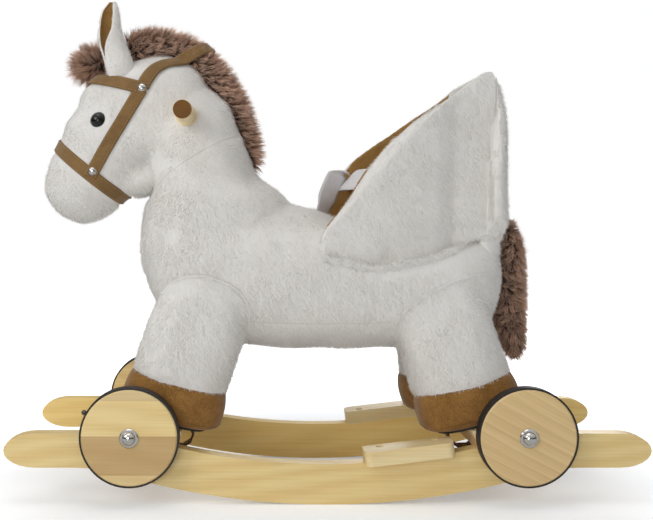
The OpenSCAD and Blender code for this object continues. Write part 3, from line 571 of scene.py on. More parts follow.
def leg_solids(end, side):
    wide, long = LEG_W / 2, LEG_LEN / 2
    leg = [(LEG_Z - 9, wide - 7, long - 7), (LEG_Z - 2, wide - 1, long), (LEG_Z + 8, wide, long),
           (LEG_Z + LEG_H * 0.4, wide, long - 1), (LEG_Z + LEG_H * 0.7, wide - 2, long - 4),
           (LEG_Z + LEG_H * 0.9, wide - 9, long - 14), (LEG_Z + LEG_H, wide - 26, long - 32)]
    foot = long + HOOF_FLARE
    hoof = [(HOOF_Z, wide - 8, foot - 14), (HOOF_Z + 3, wide - 2, foot - 5), (HOOF_Z + 8, wide, foot),
            (HOOF_Z + HOOF_H * 0.5, wide + 1, foot + 1), (HOOF_Z + HOOF_H * 0.88, wide, foot - 2),
            (LEG_Z, wide - 2, foot - 5)]
    place = leg_place(end, side)
    return (solid("leg_form", section_loft(leg, 0.8, 8.0, rise=3), place),
            solid("hoof_form", section_loft(hoof, 0.7, rise=0.3), place))


# %% Hooves and leg forms
FAR_LEG, FAR_LEG_LEAN, LEAN_FROM, LEAN_OVER = "rear_right", 12.0, 85.0, 70.0
leg_forms, hooves = [], {}
for key, end, side in CORNERS:
    leg, hoof = leg_solids(end, side)
    if key == FAR_LEG:
        for v in leg.data.vertices:
            v.co.x -= FAR_LEG_LEAN * MM * min(1, max(0, (v.co.z / MM - LEAN_FROM) / LEAN_OVER))
    leg_forms.append(lay_flush(leg, body_cut, leg_reach, 0))
    hooves[key] = soft_skin(f"hoof_{key}_suede", [hoof], voxel=FINE_NET, rounds=4)
    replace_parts(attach(hooves[key], "root"), f"hoof_{key}")
print("hooves", sorted(hooves))

# %% [markdown]
# Body, neck and legs become one sewn skin, because the photo shows no gap between them. The head has its
# own skin, cut where it laps over the collar. Both are stuffed hard, so they keep their form, and only
# a soft unevenness along the normals tells of the stuffing.

# %% Skins of body and head
RUMPLE_SIZE = 0.045
body = soft_skin("body_plush", [body_solid(), neck_solid(), *leg_forms], rounds=12)
head = soft_skin("head_plush", head_solids(), [neck_cut, body_cut], rounds=10)
for piece, seed in ((body, 1), (head, 2)):
    rumple(piece, 0.0024, RUMPLE_SIZE, seed)
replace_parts(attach(body, "root"), "body", "neck", *[f"leg_{key}" for key in hooves])
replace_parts(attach(head, "root"), "head")
print(body.name, len(body.data.polygons), head.name, len(head.data.polygons))
remove(neck_cut)

# %% [markdown]
# The bucket seat is sewn from flat panels with padding between. A wing is an outline in side view,
# rounded at its corners, and set between two planes with its edges rolled over. Blocks cut the panels
# where their seams meet.

# %% Pad helpers
def rounded(p, times):
    p = np.array(p, float)
    for _ in range(times):
        q = np.roll(p, -1, axis=0)
        p = np.stack([p * 0.75 + q * 0.25, p * 0.25 + q * 0.75], 1).reshape(-1, 2)
    return p


def drawn_in(p, d):
    c = (p.min(0) + p.max(0)) / 2
    r = np.linalg.norm(p - c, axis=1)[:, None]
    return c + (p - c) * (1 - d / r)


def pad_xz(outline, y0, y1, crown, steps=7):
    """A pad of an outline in x and z, between two planes across, with its edges rounded over."""
    mid, half = (y0 + y1) / 2, (y1 - y0) / 2
    rings = []
    for a in np.linspace(-90, 90, 2 * steps + 1):
        a = math.radians(a)
        p = drawn_in(outline, crown * (1 - math.cos(a)))
        rings.append(np.c_[p[:, 0], np.full(len(p), mid + half * math.sin(a)), p[:, 1]])
    c = (outline.min(0) + outline.max(0)) / 2
    return closed_skin(rings, [(c[0], y0, c[1]), (c[0], y1, c[1])])


BOX_FACES = [(0, 2, 3, 1), (4, 5, 7, 6), (0, 1, 5, 4), (2, 6, 7, 3), (0, 4, 6, 2), (1, 3, 7, 5)]


def box_solid(low, high, place=Matrix.Identity(4)):
    c = [(x, y, z) for z in (low[2], high[2]) for y in (low[1], high[1]) for x in (low[0], high[0])]
    return solid("block", (c, BOX_FACES), place)


# %% Outlines of the wings
RIDGE_X, RIDGE_Z = [0, 37, 86, 157, 223], [136, 125, 106, 94, 107]
WING_CORNERS = [(229, 125), (191, 168), (168, 211), (128, 255), (82, 286), (47, 308), (26, BACK_TOP + 8),
                (8, BACK_TOP + 2), (5, 232), (4, 197), (7, 145), (14, 122), (86, 92), (157, 82), (214, 92)]
WING = rounded(WING_CORNERS, 3)
WING_IN, WING_OUT = BODY_W / 2 - WING_T, BODY_W / 2
FAR_SHIFT, FAR_TOP, FAR_FOOT, FAR_FADE, FAR_FROM = (9.0, 5.0), 262, 130, 40, 60
across, up = WING[:, :1], WING[:, 1:]
fades = np.clip((FAR_TOP - up) / FAR_FADE, 0, 1) * np.clip((up - FAR_FOOT) / FAR_FADE, 0, 1)
outline_of = {1: WING, -1: WING + np.array([FAR_SHIFT]) * fades * (across > FAR_FROM)}
print("wing outline", len(WING), "points, far one forward by", FAR_SHIFT[0], "mm")

# %% [markdown]
# The seat back is an upright pad with a roll at the top. It is blown up by its stuffing first, then
# its foot is drawn in to the rump, so that no shelf is left at the seam. It stays clear of the wings,
# which meet it a finger's breadth before its rear edge.

# %% Seat back
SIDE_SEAM, WELL_OUT = 16.0, 200
BACK_ROWS = [(4, 200, 90, HALF_BODY - 10, BACK_TOP - 262, 100),
             (8, 200, 90, HALF_BODY - 3, BACK_TOP - 228, 107), (14, 200, 90, HALF_BODY, BACK_TOP - 200, 110),
             (BACK_T - 8, 200, 90, HALF_BODY, BACK_TOP - 200, 110),
             (BACK_T, 200, 90, HALF_BODY - 9, BACK_TOP - 210, 100)]
FOOT_UP, FOOT_FADE, FOOT_LEAST, FOOT_PROUD = 98, 70, 40, 1.5


def back_reach(x, z, half_width):
    """The seat back narrows to the rump at its foot."""
    k = min(1, max(0, (z - BELLY_Z - FOOT_UP) / FOOT_FADE))
    k = k * k * (3 - 2 * k)
    return (max(half_width(x, z), FOOT_LEAST) + FOOT_PROUD) * (1 - k) + WING_OUT * k


back_form = solid("back_form", loft(BACK_ROWS, n=96, e=0.4, rise=0.5), RUMP)
roll = box_solid((14, 6 - WING_OUT, BACK_TOP - 18), (BACK_T + 10, WING_OUT - 6, BACK_TOP + 4), RUMP)
beside = []
for side in SIDES.values():
    near, out = sorted((side * WING_IN, side * WELL_OUT))
    beside.append(box_solid((SIDE_SEAM, near, -100), (BACK_T + 40, out, 500), RUMP))
back = soft_skin("seat_back_plush", [back_form, roll], [body_cut, *beside], rounds=8)
plumped(back, [body_cut], 0.006, 0.004)
lay_flush(back, body_cut, back_reach, 5)
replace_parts(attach(back, "root"), "seat_back")
print(back.name, len(back.data.polygons))

# %% [markdown]
# The wings stand on the flanks. At the lower seam a wing is level with the flank, and it leans out
# to the full width of the seat above. Both wings are stuffed and rumpled like the body.

# %% Seat wings
WING_LEAN, WING_LEAST, WING_PROUD, TUCK = 0.07, 70, 0.8, 0.6


def wing_reach(x, z, half_width):
    """Level with the flank at the lower seam, below it under the flank, and out to full width at the top."""
    seam = BELLY_Z + np.interp(x - RUMP_X, RIDGE_X, RIDGE_Z)
    up = z - seam
    if up < 0:
        return half_width(x, z) + WING_PROUD + up * TUCK
    return min(WING_OUT, max(half_width(x, seam), WING_LEAST) + WING_PROUD + up * WING_LEAN)


behind_seam = box_solid((-WELL_OUT, -WELL_OUT, -100), (SIDE_SEAM, WELL_OUT, 500), RUMP)
wings = {}
for side_name, side in SIDES.items():
    shape = pad_xz(outline_of[side], WING_IN, WING_OUT, 11)
    form = solid("wing_form", shape, Matrix.Scale(side, 4, (0, 1, 0)) @ RUMP)
    wing = soft_skin(f"seat_wing_{side_name}_plush", [form], [behind_seam, body_cut], rounds=6)
    plumped(wing, [body_cut, back], 0.005, 0.003)
    lay_flush(wing, body_cut, wing_reach, 3)
    rumple(wing, 0.0025, RUMPLE_SIZE, 11 * side)
    wings[side_name] = wing
    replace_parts(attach(wings[side_name], "root"), f"seat_wing_{side_name}")
print("wings", [len(o.data.polygons) for o in wings.values()])

# %% [markdown]
# Tan cloth lines the bucket: a thin panel on each wing and one on the back. They follow the same
# outlines, drawn in by the seam. The cushion is a low crowned pad between them, blown up like the wings.

# %% Seat lining
before_back = box_solid((-WELL_OUT, -WELL_OUT, -100), (BACK_T + 0.3, WELL_OUT, 500), RUMP)
below_seat = box_solid((-100, -WELL_OUT, -100), (190, WELL_OUT, 136), RUMP)
panels = []
for side in SIDES.values():
    shape = pad_xz(drawn_in(outline_of[side], 0.5), SEAT_HALF + 0.5, WING_IN - 0.5, 2.5)
    panel = solid("lining_form", shape, Matrix.Scale(side, 4, (0, 1, 0)) @ RUMP)
    panels.append(soft_skin("panel", [panel], [before_back, below_seat, body_cut], voxel=FINE_NET, rounds=3))
rest = box_solid((BACK_T + 0.4, 1 - SEAT_HALF, 100), (BACK_T + LINING_T, SEAT_HALF - 1, BACK_TOP - 12), RUMP)
panels.append(soft_skin("panel", [rest], [body_cut], voxel=FINE_NET, rounds=3))
lining = put_together(panels)
lining.name = "seat_lining_cloth"
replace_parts(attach(lining, "root"), "seat_lining")
remove(behind_seam, before_back, below_seat, *beside)
print(lining.name, len(lining.data.polygons))

# %% Seat cushion
CUSHION_ROWS = [(BACK_T + LINING_T + 1, 140, 90, SEAT_HALF - 10, CUSHION_TOP - 148, 12),
                (BACK_T + 14, 140, 90, SEAT_HALF - 1.5, CUSHION_TOP - 142, 16),
                (114, 140, 90, SEAT_HALF - 1.5, CUSHION_TOP - 140, 20),
                (184, 142, 90, SEAT_HALF - 4, CUSHION_TOP - 144, 20),
                (204, 144, 90, SEAT_HALF - 15, CUSHION_TOP - 152, 10)]
cushion_form = solid("cushion_form", loft(CUSHION_ROWS, e=0.6, rise=0.5), RUMP)
cushion = soft_skin("seat_cushion_cloth", [cushion_form], [body_cut], voxel=FINE_NET, rounds=6)
plumped(cushion, [body_cut, lining], 0.003, 0.005)
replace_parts(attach(cushion, "root"), "seat_cushion")
print(cushion.name, len(cushion.data.polygons))

# %% [markdown]
# Pine is pale yellow with soft bands where the saw met the year rings, and fine streaks along the
# grain. Both are drawn in the piece's own space, stretched along the grain, so that the pattern
# runs through the wood like the real one. Each part turns the grain its own way.

# %% Finish helpers
def new_finish(name, **sockets):
    """A material with its shader; constants go straight on the shader's sockets."""
    mat = bpy.data.materials.new(name)
    mat.use_nodes = True
    shader = mat.node_tree.nodes["Principled BSDF"]
    for key, value in sockets.items():
        shader.inputs[key.replace("_", " ")].default_value = value
    return mat, mat.node_tree, shader


def own_space(tree, turn=(0, 0, 0), scale=(1, 1, 1), shift=(0, 0, 0)):
    """The piece's own coordinates, turned and moved, then stretched."""
    where = put(tree, "ShaderNodeTexCoord").outputs["Object"]
    turned = put(tree, "ShaderNodeMapping", {"Vector": where, "Rotation": turn, "Location": shift}).outputs[0]
    return put(tree, "ShaderNodeMapping", {"Vector": turned, "Scale": scale}).outputs[0]


def mixed(tree, share, a, b, how="MIX"):
    return put(tree, "ShaderNodeMix", {0: share, 6: a, 7: b}, data_type="RGBA", blend_type=how).outputs[2]


def bumped(tree, shader, height, strength, depth):
    lump = put(tree, "ShaderNodeBump", {"Height": height, "Strength": strength, "Distance": depth})
    tree.links.new(lump.outputs[0], shader.inputs["Normal"])


def dress(names, mat):
    for name in names:
        nodes[name].data.materials.clear()
        nodes[name].data.materials.append(mat)


# %% Pine
ALONG_GRAIN = (0.16, 1, 1)
STREAKS, CLOUDS = (9, 420, 420), (3, 14, 14)
FIBRE = [(0.3, (0.86, 0.82, 0.74, 1)), (0.62, (1, 1, 1, 1))]


def pine_tone(t, turn, shift, pale, deep, bands, contrast, cut, profile):
    """The wood's colour from its year rings, which are stronger in some places than in others."""
    v = own_space(t, turn, ALONG_GRAIN, shift)
    wander = put(t, "ShaderNodeTexNoise", {"Vector": v, "Scale": 7.0, "Detail": 2.0}).outputs["Color"]
    drift = mixed(t, 0.035, v, wander, "ADD")
    rings = put(t, "ShaderNodeTexWave",
                {"Vector": drift, "Scale": bands, "Distortion": 2.5, "Detail": 2.0, "Detail Scale": 1.4},
                bands_direction=cut, wave_profile=profile).outputs["Fac"]
    cloud = put(t, "ShaderNodeTexNoise",
                {"Vector": own_space(t, turn, CLOUDS, shift), "Scale": 1.0, "Detail": 3.0}).outputs["Fac"]
    band = put(t, "ShaderNodeMath", {0: rings, 1: contrast}, operation="MULTIPLY").outputs[0]
    share = put(t, "ShaderNodeMath", {0: band, 1: cloud}, operation="MULTIPLY").outputs[0]
    return mixed(t, share, lin(pale), lin(deep))


def pine(name, turn=(0, 0, 0), shift=(0, 0, 0), pale="#efd596", deep="#d3a758", bands=26.0, contrast=0.55,
         cut="DIAGONAL", profile="SIN", boards=None):
    """boards gives where glued boards begin and end across the grain, and a tint for each."""
    mat, t, shader = new_finish(name, Roughness=0.42, Coat_Weight=0.12, Coat_Roughness=0.3)
    colour = pine_tone(t, turn, shift, pale, deep, bands, contrast, cut, profile)
    streak = put(t, "ShaderNodeTexNoise",
                 {"Vector": own_space(t, turn, STREAKS, shift), "Scale": 1.0, "Detail": 4.0,
                  "Roughness": 0.65})
    streak = streak.outputs["Fac"]
    colour = mixed(t, 0.75, colour, ramp(t, streak, FIBRE), "MULTIPLY")
    if boards:
        low, high, tints = boards
        axis = put(t, "ShaderNodeSeparateXYZ", {0: own_space(t, turn)}).outputs[1]
        at = put(t, "ShaderNodeMapRange", {"Value": axis, "From Min": low, "From Max": high}).outputs[0]
        colour = mixed(t, 1.0, colour, ramp(t, at, tints, "CONSTANT"), "MULTIPLY")
    t.links.new(colour, shader.inputs["Base Color"])
    rough = put(t, "ShaderNodeMapRange", {"Value": streak, "To Min": 0.36, "To Max": 0.5}).outputs[0]
    t.links.new(rough, shader.inputs["Roughness"])
    bumped(t, shader, streak, 0.12, 0.0004)
    return mat


# %% [markdown]
# The front wheels are glued from boards of different tone, which show as stripes. The rear wheels are
# cut from one board with the grain aslant. Bars, boards and the hand bar run across the toy, so
# their grain is turned by a quarter.

# %% Pine on rockers, bars and wheels
QUARTER = math.pi / 2
ACROSS_TOY, UPRIGHT, ASLANT = (0, 0, QUARTER), (QUARTER, 0, 0), (0, math.radians(28), 0)
WHEEL_R = 0.057
axle_z = frame["joints"][0]["pos_m"][2]
BOARD_TINTS = [(0.0, (0.85, 0.84, 0.92, 1)), (0.13, (1.0, 1.0, 1.0, 1)), (0.48, (0.68, 0.60, 0.56, 1)),
               (0.86, (0.92, 0.91, 0.98, 1))]
WOOD = [
    ("pine_rocker_near", ["rocker_left"], {}),
    # The far rocker's pine is paler and more saturated than the near one's: painted light on a face that lies
    # in the shade of the near rocker and the body.
    ("pine_rocker_far_painted_light", ["rocker_right"], {"shift": (0.3, 0.21, 0.13), "pale": "#ffde8e", "deep": "#ecbb5c"}),
    ("pine_footrest", ["footrest_left", "footrest_right"], {"shift": (0.7, 0.1, 0.4), "pale": "#f0dba8"}),
    ("pine_bar", ["cross_bar_front", "cross_bar_rear"],
     {"turn": ACROSS_TOY, "pale": "#dcb374", "deep": "#b98845"}),
    ("pine_board", ["hoof_board_front", "hoof_board_rear"],
     {"turn": ACROSS_TOY, "pale": "#f2e0b8", "shift": (0.2, 0.5, 0)}),
    ("pine_handle", ["handle"], {"turn": ACROSS_TOY, "pale": "#f0dcae", "shift": (0.1, 0.9, 0)}),
    ("pine_wheel_front", ["wheel_front_left", "wheel_front_right"],
     {"turn": UPRIGHT, "boards": (-axle_z - WHEEL_R, WHEEL_R - axle_z, BOARD_TINTS)}),
    ("pine_wheel_rear", ["wheel_rear_left", "wheel_rear_right"],
     {"turn": ASLANT, "shift": (0.4, 0, 0.17), "pale": "#e4c68f", "deep": "#aa7e48", "bands": 26.0,
      "contrast": 0.5, "cut": "Z", "profile": "SAW"}),
    ("plain_ply", ["leg_posts", "spine_board", "neck_board", "back_board"],
     {"pale": "#cfae78", "deep": "#a98352"})]
for name, names, look in WOOD:
    dress(names, pine(name, **look))
print("pine on", sum(len(names) for _, names, _ in WOOD), "nodes")

# %% [markdown]
# Axles, washers and screws are zinc-plated steel, and the studs are darker. The caps on the wheels and
# the rivets are bright nickel. The tyres are a thin black rubber band, matt from handling. All of these
# are plain at arm's length, so one finish of two tones under a fine noise serves them all.

# %% Metal, rubber and other small finishes
def grained(name, pale, deep, scale, strength, depth, stretch=(1, 1, 1), **sockets):
    """A finish of two tones under a fine noise that also roughens the surface."""
    mat, t, shader = new_finish(name, **sockets)
    grain = put(t, "ShaderNodeTexNoise",
                {"Vector": own_space(t, scale=stretch), "Scale": scale, "Detail": 4.0, "Roughness": 0.6})
    cloud = put(t, "ShaderNodeTexNoise", {"Vector": own_space(t), "Scale": 38.0, "Detail": 3.0})
    share = put(t, "ShaderNodeMath", {0: grain.outputs["Fac"], 1: cloud.outputs["Fac"]}, operation="ADD")
    at = put(t, "ShaderNodeMapRange", {"Value": share.outputs[0], "From Min": 0.6, "From Max": 1.4})
    t.links.new(mixed(t, at.outputs[0], lin(deep), lin(pale)), shader.inputs["Base Color"])
    bumped(t, shader, grain.outputs["Fac"], strength, depth)
    return mat


steel = grained("zinc_steel", "#c9c9c6", "#a9a9a6", 900, 0.1, 0.0002, Metallic=1.0, Roughness=0.34)
dark_steel = grained("dark_steel", "#6e6a66", "#4c4845", 700, 0.1, 0.0002, Metallic=1.0, Roughness=0.28)
nickel = grained("bright_nickel", "#c9c7c4", "#b3b0ac", 300, 0.02, 0.0001, Metallic=1.0, Roughness=0.09)
rubber = grained("black_rubber", "#241e1a", "#120e0c", 1400, 0.25, 0.0003, Roughness=0.62)
red_leather = grained("dark_red_leather", "#551f1b", "#35100e", 700, 0.4, 0.0004, Roughness=0.5)
brown_disc = grained("brown_disc", "#80561f", "#583812", 500, 0.15, 0.0003, stretch=(1, 1, 6), Roughness=0.6,
                     Specular_IOR_Level=0.25)
eye_black = grained("eye_black", "#0d0a0a", "#050404", 200, 0.0, 0.0001, Roughness=0.05,
                    Specular_IOR_Level=0.4)
tyres = [name for name in nodes if name.startswith("tyre_")]
SMALL = [(steel, ["wood_screws", "axle_front", "axle_rear", "axle_washers"]), (dark_steel, ["strap_studs"]),
         (nickel, ["axle_caps", "rivets"]), (rubber, tyres + ["hoof_soles"]),
         (red_leather, ["strap_loop_front", "strap_loop_rear"]), (brown_disc, ["handle_discs"]),
         (eye_black, ["eyes"])]
for finish, names in SMALL:
    dress(names, finish)
print("small finishes", [finish.name for finish, _ in SMALL])

# %% [markdown]
# The cloths: off-white plush with a nap that lies downwards in small waves, and tan suede cloth on the
# hooves, straps and seat lining. Their nap is drawn by fine noise, with a wider noise for the marks
# that a hand leaves in it.

# %% Cloth finishes
def plush(name, pale="#eae7e2", deep="#e0dcd6"):
    mat, t, shader = new_finish(name, Roughness=0.95, Sheen_Weight=0.25, Sheen_Roughness=0.5,
                                Specular_IOR_Level=0.15)
    hairs = put(t, "ShaderNodeTexNoise",
                {"Vector": own_space(t, scale=(620, 620, 170)), "Scale": 1.0, "Detail": 3.0,
                 "Roughness": 0.6})
    tufts = put(t, "ShaderNodeTexNoise",
                {"Vector": own_space(t, scale=(95, 95, 60)), "Scale": 1.0, "Detail": 3.0, "Distortion": 0.6})
    height = mixed(t, 0.45, hairs.outputs["Color"], tufts.outputs["Color"])
    at = put(t, "ShaderNodeMapRange", {"Value": height, "From Min": 0.32, "From Max": 0.62})
    t.links.new(mixed(t, at.outputs[0], lin(deep), lin(pale)), shader.inputs["Base Color"])
    bumped(t, shader, height, 0.5, 0.003)
    return mat


def suede(name, pale, deep, scale=700, blotch=0.55):
    mat, t, shader = new_finish(name, Roughness=0.9, Sheen_Weight=0.2, Sheen_Roughness=0.5,
                                Specular_IOR_Level=0.2)
    nap = put(t, "ShaderNodeTexNoise",
              {"Vector": own_space(t), "Scale": scale, "Detail": 3.0, "Roughness": 0.6})
    cloud = put(t, "ShaderNodeTexNoise",
                {"Vector": own_space(t, scale=(1, 1, 1.4)), "Scale": 42.0, "Detail": 5.0, "Roughness": 0.65,
                 "Distortion": 0.5})
    share = mixed(t, blotch, nap.outputs["Color"], cloud.outputs["Color"])
    at = put(t, "ShaderNodeMapRange", {"Value": share, "From Min": 0.4, "From Max": 0.6})
    t.links.new(mixed(t, at.outputs[0], lin(deep), lin(pale)), shader.inputs["Base Color"])
    bumped(t, shader, share, 0.5, 0.0012)
    return mat


def coat(obj, *mats):
    obj.data.materials.clear()
    for m in mats:
        obj.data.materials.append(m)
    return obj


# %% Cloth on the stuffed pieces
white_plush = plush("white_plush")
hoof_suede = suede("hoof_suede", "#a0743c", "#6f4b1f", 760, 0.42)
tan_cloth = suede("tan_cloth", "#a07a47", "#86632f", 900)
for piece in [body, head, back, *wings.values()]:
    coat(piece, white_plush)
for piece in hooves.values():
    coat(piece, hoof_suede)
for piece in (lining, cushion):
    coat(piece, tan_cloth)
print("cloths", [m.name for m in (white_plush, hoof_suede, tan_cloth)])

# %% [markdown]
# An ear is a leaf of plush folded into a cup and lined with tan cloth. Each station is an oval that
# stays open between two lips; the opening widens towards the tip. The wall is drawn twice, outside
# and inside, and the lips join both. The far ear leans forward a little.

# %% Ear form
EAR_ROWS = [(20, 322, 15, 10, 8, 4), (24, 344, 17.5, 14, 34, -4), (31, 363, 17.5, 16, 72, -20),
            (35, 385, 15, 14, 116, -28), (34, 402, 12, 9, 122, -26), (30, 414, 4.5, 2.5, 104, -20)]
EAR_Y, EAR_WALL, EAR_AROUND, EAR_FOOT = 42.0, 3.2, 30, (20, 0, 330)


def ear_shape(side):
    """Rows give x, z, half length, half width, and the angles of the outer and the inner lip."""
    outer, inner = [], []
    for x, z, long, wide, near, far in smooth_through(EAR_ROWS, 7):
        thick = min(EAR_WALL, wide * 0.45)
        t = np.radians(np.linspace(near, 360 + far, EAR_AROUND))
        for rings, less in ((outer, 0), (inner, thick)):
            rings.append(np.c_[x + (long - less) * np.cos(t), side * (EAR_Y + (wide - less) * np.sin(t)),
                               np.full(len(t), z)])
    n, m = EAR_AROUND, len(outer)
    at = lambda k, i, j: k * m * n + i * n + j
    faces = [(at(k, i, j), at(k, i, j + 1), at(k, i + 1, j + 1), at(k, i + 1, j)) for k in (0, 1)
             for i in range(m - 1) for j in range(n - 1)]
    faces += [(at(0, i, j), at(0, i + 1, j), at(1, i + 1, j), at(1, i, j)) for j in (0, n - 1)
              for i in range(m - 1)]
    faces += [(at(0, i, j), at(0, i, j + 1), at(1, i, j + 1), at(1, i, j)) for i in (0, m - 1)
              for j in range(n - 1)]
    return (np.vstack(outer + inner), faces), m * n


# %% Ears
def ear(name, side, lean):
    shape, first_inner = ear_shape(side)
    foot = Matrix.Translation(EAR_FOOT)
    obj = solid(name, shape, CHEST @ foot @ Matrix.Rotation(math.radians(lean), 4, "Y") @ foot.inverted())
    coat(obj, white_plush, tan_cloth)
    for face in obj.data.polygons:
        face.material_index = int(all(v >= first_inner for v in face.vertices))
        face.use_smooth = True
    ease = obj.modifiers.new("ease", "SUBSURF")
    ease.levels = ease.render_levels = 1
    return flatten(obj, name)


FAR_EAR_LEAN = 14
ears = {"left": ear("ear_left_cup", 1, 0), "right": ear("ear_right_cup", -1, FAR_EAR_LEAN)}
for side_name, piece in ears.items():
    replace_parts(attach(piece, "root"), f"ear_{side_name}")
print("ears", [len(o.data.polygons) for o in ears.values()])

# %% [markdown]
# The bridle is made of tan cloth tape. Such a tape could be a curve with a flat profile, but that sinks
# into a soft skin. Here rays cast from inside the head find the line where a tape lies, and the tape is
# a thin grid laid along that line, each point set on the nearest skin.

# %% Lines on a skin
def around(tree, centre, first, second, degrees):
    """Points of a skin seen from a centre, in the plane of two directions."""
    out = []
    for a in np.radians(degrees):
        hit = tree.ray_cast(centre, first * math.cos(a) + second * math.sin(a))
        if hit[0] is not None:
            out.append(hit[0])
    return out


def even_path(points, step, closed=False):
    """The same line with its points at an even distance, a little smoothed."""
    p = np.array([tuple(q) for q in points])
    if closed:
        p = np.vstack([p, p[:1]])
    run = np.r_[0, np.cumsum(np.linalg.norm(np.diff(p, axis=0), axis=1))]
    count = max(4, int(run[-1] / step))
    q = np.c_[[np.interp(np.linspace(0, run[-1], count, endpoint=not closed), run, p[:, k])
               for k in range(3)]].T
    for _ in range(4):
        if closed:
            q = (np.roll(q, 1, 0) + 2 * q + np.roll(q, -1, 0)) / 4
        else:
            q[1:-1] = (q[:-2] + 2 * q[1:-1] + q[2:]) / 4
    return q


# %% Tapes on a skin
def tape_grid(path, tree, wide, lift, closed=False, count=7):
    """Rows of points across a tape that lies on a skin, with the skin's normals."""
    ahead = np.roll(path, -1, 0) - np.roll(path, 1, 0)
    if not closed:
        ahead[0], ahead[-1] = path[1] - path[0], path[-1] - path[-2]
    ahead /= np.linalg.norm(ahead, axis=1)[:, None]
    up = np.array([tuple(tree.find_nearest(Vector(p))[1]) for p in path])
    for _ in range(6):
        if closed:
            near = (np.roll(up, 1, 0) + up + np.roll(up, -1, 0)) / 3
        else:
            near = np.vstack([up[:1], (up[:-2] + up[1:-1] + up[2:]) / 3, up[-1:]])
        up = near / np.linalg.norm(near, axis=1)[:, None]
    across = np.cross(ahead, up)
    across /= np.linalg.norm(across, axis=1)[:, None]
    rows = []
    for share in np.linspace(-0.5, 0.5, count):
        spots = [tree.find_nearest(Vector(p + s * share * wide))[0] for p, s in zip(path, across)]
        rows.append([tuple(spot + Vector(u) * lift) for spot, u in zip(spots, up)])
    grid = np.array(rows).transpose(1, 0, 2)
    for _ in range(3):
        if closed:
            grid = (np.roll(grid, 1, 0) + 2 * grid + np.roll(grid, -1, 0)) / 4
        else:
            grid[1:-1] = (grid[:-2] + 2 * grid[1:-1] + grid[2:]) / 4
    return grid, up


def tape_shape(grid, up, thick, closed=False):
    """Vertices and faces, in metres, of a tape with its edges eased."""
    m, k = grid.shape[:2]
    crown = np.array([0.55] + [1.0] * (k - 2) + [0.55])[None, :, None]
    top = grid + up[:, None, :] * thick * crown
    verts = np.vstack([top.reshape(-1, 3), grid.reshape(-1, 3)])
    at = lambda layer, i, j: layer * m * k + (i % m) * k + j
    rows = range(m if closed else m - 1)
    faces = [(at(0, i, j), at(0, i + 1, j), at(0, i + 1, j + 1), at(0, i, j + 1)) for i in rows
             for j in range(k - 1)]
    faces += [(at(1, i, j), at(1, i, j + 1), at(1, i + 1, j + 1), at(1, i + 1, j)) for i in rows
              for j in range(k - 1)]
    faces += [(at(0, i, j), at(1, i, j), at(1, i + 1, j), at(0, i + 1, j)) for i in rows for j in (0, k - 1)]
    if not closed:
        faces += [(at(0, i, j), at(0, i, j + 1), at(1, i, j + 1), at(1, i, j)) for i in (0, m - 1)
                  for j in range(k - 1)]
    return verts / MM, faces


# %% [markdown]
# Stitches repeat along a line, which is work for Geometry Nodes. The tree takes a line of edges, sets
# points on it at an even pitch, and puts a small round lump of thread on each, turned along the line.
# Two helpers open and close a tree, because the fur needs them too.

# %% Helpers for trees
def new_tree(name, inputs, output):
    """An empty tree with named inputs and one output."""
    t = bpy.data.node_groups.new(name, "GeometryNodeTree")
    for label, kind, value in inputs:
        socket = t.interface.new_socket(label, in_out="INPUT", socket_type="NodeSocket" + kind)
        if value is not None:
            socket.default_value = value
    t.interface.new_socket(output, in_out="OUTPUT", socket_type="NodeSocketGeometry")
    return t, put(t, "NodeGroupInput").outputs


def close_tree(t, geometry, finish, output):
    """The end of a tree: instances become faces, and all faces get one finish."""
    real = put(t, "GeometryNodeRealizeInstances", {"Geometry": geometry}).outputs[0]
    done = put(t, "GeometryNodeSetMaterial", {"Geometry": real, "Material": finish}).outputs[0]
    put(t, "NodeGroupOutput", {output: done})
    return t


def run_tree(obj, tree, values):
    """Puts a tree on an object, sets its inputs by identifier, and works it into a plain mesh."""
    mod = obj.modifiers.new(tree.name, "NODES")
    mod.node_group = tree
    names = {i.name: i.identifier for i in tree.interface.items_tree if i.in_out == "INPUT"}
    for key, value in values.items():
        mod[names[key]] = value
    return flatten(obj)


# %% Stitch tree
STITCH_INPUTS = [("Line", "Geometry", None), ("Pitch", "Float", 0.004), ("Length", "Float", 0.0028),
                 ("Thread", "Float", 0.0005), ("Finish", "Material", None)]


def stitch_tree():
    t, given = new_tree("stitches", STITCH_INPUTS, "Stitches")
    line = put(t, "GeometryNodeMeshToCurve", {"Mesh": given["Line"]}).outputs[0]
    line = put(t, "GeometryNodeResampleCurve", {"Curve": line, "Length": given["Pitch"]},
               mode="LENGTH").outputs[0]
    lump = put(t, "GeometryNodeMeshUVSphere", {"Segments": 6, "Rings": 4, "Radius": 0.5}).outputs["Mesh"]
    ahead = put(t, "GeometryNodeInputTangent").outputs[0]
    turn = put(t, "FunctionNodeAlignRotationToVector", {"Vector": ahead}, axis="Z").outputs[0]
    width = put(t, "ShaderNodeMath", {0: given["Thread"], 1: 2.0}, operation="MULTIPLY").outputs[0]
    size = put(t, "ShaderNodeCombineXYZ", {0: width, 1: width, 2: given["Length"]}).outputs[0]
    sewn = put(t, "GeometryNodeInstanceOnPoints",
               {"Points": line, "Instance": lump, "Rotation": turn, "Scale": size}).outputs[0]
    return close_tree(t, sewn, given["Finish"], "Stitches")


STITCHES = stitch_tree()
print("tree", STITCHES.name, "with", len(STITCHES.nodes), "nodes")


